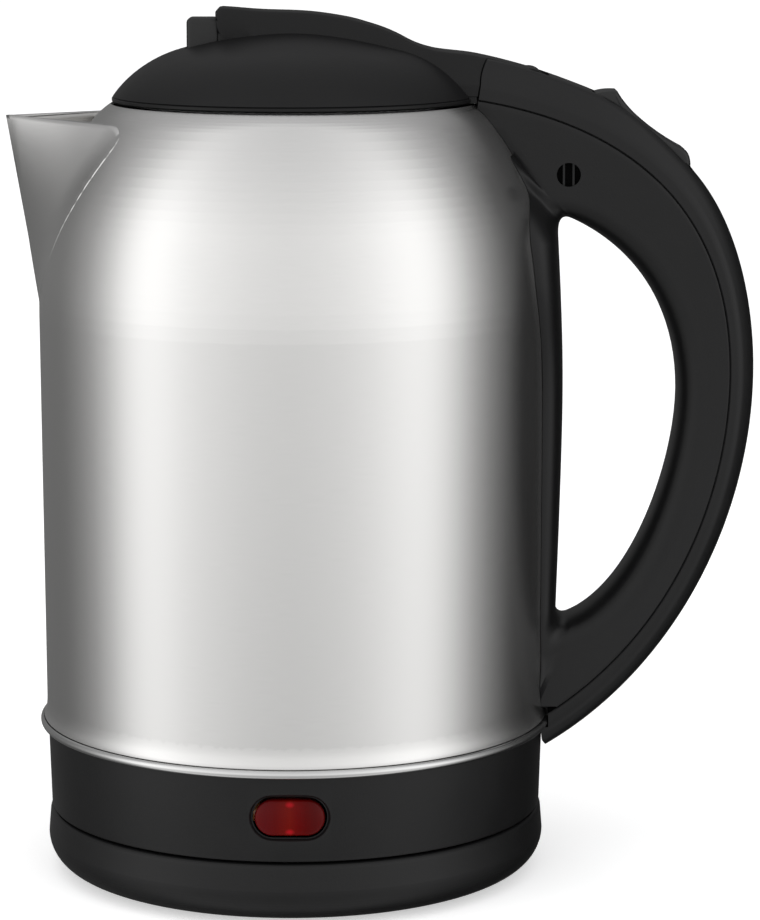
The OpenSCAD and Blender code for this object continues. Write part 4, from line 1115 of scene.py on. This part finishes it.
# Painted glow: two brighter red spots at the lens's middle, above and below its centre, where the lamp's ends
# show through.
red_rise = math_node(red_nodes, red_link, "SUBTRACT", red_split.outputs["Z"], lens_z)
red_up = math_node(red_nodes, red_link, "ABSOLUTE", red_rise)
red_off = math_node(red_nodes, red_link, "SUBTRACT", red_up, lens_high_half * 0.76)
red_far = math_node(red_nodes, red_link, "POWER", math_node(red_nodes, red_link, "MULTIPLY", red_off, 1.5), 2)
red_side = math_node(red_nodes, red_link, "POWER", red_split.outputs["X"], 2)
red_near = math_node(red_nodes, red_link, "SQRT", math_node(red_nodes, red_link, "ADD", red_far, red_side))
red_painted_glow = red_nodes.new("ShaderNodeMapRange")
red_painted_glow.inputs["From Min"].default_value = 0.0004
red_painted_glow.inputs["From Max"].default_value = 0.0015
red_painted_glow.inputs["To Min"].default_value = 1
red_painted_glow.inputs["To Max"].default_value = 0
red_link(red_near, red_painted_glow.inputs["Value"])
red_mix = red_nodes.new("ShaderNodeMix")
red_mix.data_type = "RGBA"
red_mix.inputs["B"].default_value = (0.3, 0.004, 0.008, 1)
red_link(red_painted_glow.outputs[0], red_mix.inputs["Factor"])
red_link(red_bands.outputs[0], red_mix.inputs["A"])
red_link(red_mix.outputs["Result"], red_shader.inputs["Base Color"])
red_shader.inputs["Roughness"].default_value = 0.09
red_shader.inputs["Specular IOR Level"].default_value = 0.09
lens_bm = lens_solid([(0, wall_r - 4 * MM), (0, wall_r - 1.1 * MM), (-0.15 * MM, wall_r - 0.75 * MM),
                      (-0.5 * MM, wall_r - 0.45 * MM), (-1.1 * MM, wall_r - 0.25 * MM),
                      (-2.2 * MM, wall_r - 0.1 * MM), (-3.6 * MM, wall_r), (-5 * MM, wall_r + 0.03 * MM)])
made("lamp_lens", lens_bm, RED, "kettle", ["indicator_lens"], 60)

# Everything else keeps its CAD shape: the power base, the works in the foot, the steam switch in
# the handle, and the lid's liner, seal and small metal parts.
coat(BLACK, "base_bottom_plate", "base_top_cover", "cord_bush", "bottom_cover", "neck_collar")
coat(DARK, "base_coupler", "control_unit", "spout_filter", "steam_switch", "latch_bolt")


def plain_metal(name, colour, rough):
    """Bare metal with faint handling marks."""
    material, nodes, link, shader = shader_nodes(name)
    where = nodes.new("ShaderNodeTexCoord").outputs["Object"]
    shader.inputs["Metallic"].default_value = 1.0
    marks = noise_node(nodes, link, where, 260.0, 4.0, 0.6)
    link(tinted(nodes, link, marks, [c * 0.88 for c in colour], colour), shader.inputs["Base Color"])
    link(ranged(nodes, link, marks, rough, rough + 0.14), shader.inputs["Roughness"])
    return material


def soft_rubber(name, dark, light, rough):
    """Rubber or silicone with a dull, slightly mottled skin."""
    material, nodes, link, shader = shader_nodes(name)
    where = nodes.new("ShaderNodeTexCoord").outputs["Object"]
    mottle = noise_node(nodes, link, where, 320.0, 3.0, 0.55)
    link(tinted(nodes, link, mottle, dark, light), shader.inputs["Base Color"])
    link(ranged(nodes, link, mottle, rough, rough + 0.1), shader.inputs["Roughness"])
    bumped(nodes, link, mottle, 0.00004, 0.3, shader)
    return material


HARDWARE = plain_metal("steel_hardware", (0.62, 0.62, 0.61), 0.26)
coat(HARDWARE, "base_screws", "bottom_screws", "control_screws", "handle_screws", "hinge_pin", "hinge_spring",
     "rocker_axle", "lid_screws", "button_spring")
coat(plain_metal("brass", (0.78, 0.58, 0.3), 0.2), "base_contacts", "kettle_contacts", "bimetal_disc")
coat(plain_metal("aluminium", (0.76, 0.76, 0.77), 0.34), "heat_spreader")
coat(plain_metal("heater_sheath", (0.34, 0.34, 0.33), 0.42), "heating_element")
coat(STEEL, "heating_plate")
coat(soft_rubber("rubber", (0.02, 0.02, 0.02), (0.032, 0.032, 0.032), 0.72), "base_foot_ring")
coat(soft_rubber("silicone", (0.62, 0.62, 0.6), (0.72, 0.72, 0.7), 0.5), "lid_seal", "steam_seal")
coat(soft_rubber("wire_insulation", (0.5, 0.5, 0.47), (0.62, 0.62, 0.58), 0.75), "handle_wires")
coat(moulded("liner_plastic", (0.5, 0.5, 0.505), (0.56, 0.56, 0.565), 0.36, 0.46, 1200.0, 0.00005), "lid_liner")
coat(soft_rubber("lamp_glass", (0.6, 0.22, 0.08), (0.75, 0.32, 0.12), 0.1), "indicator_lamp")
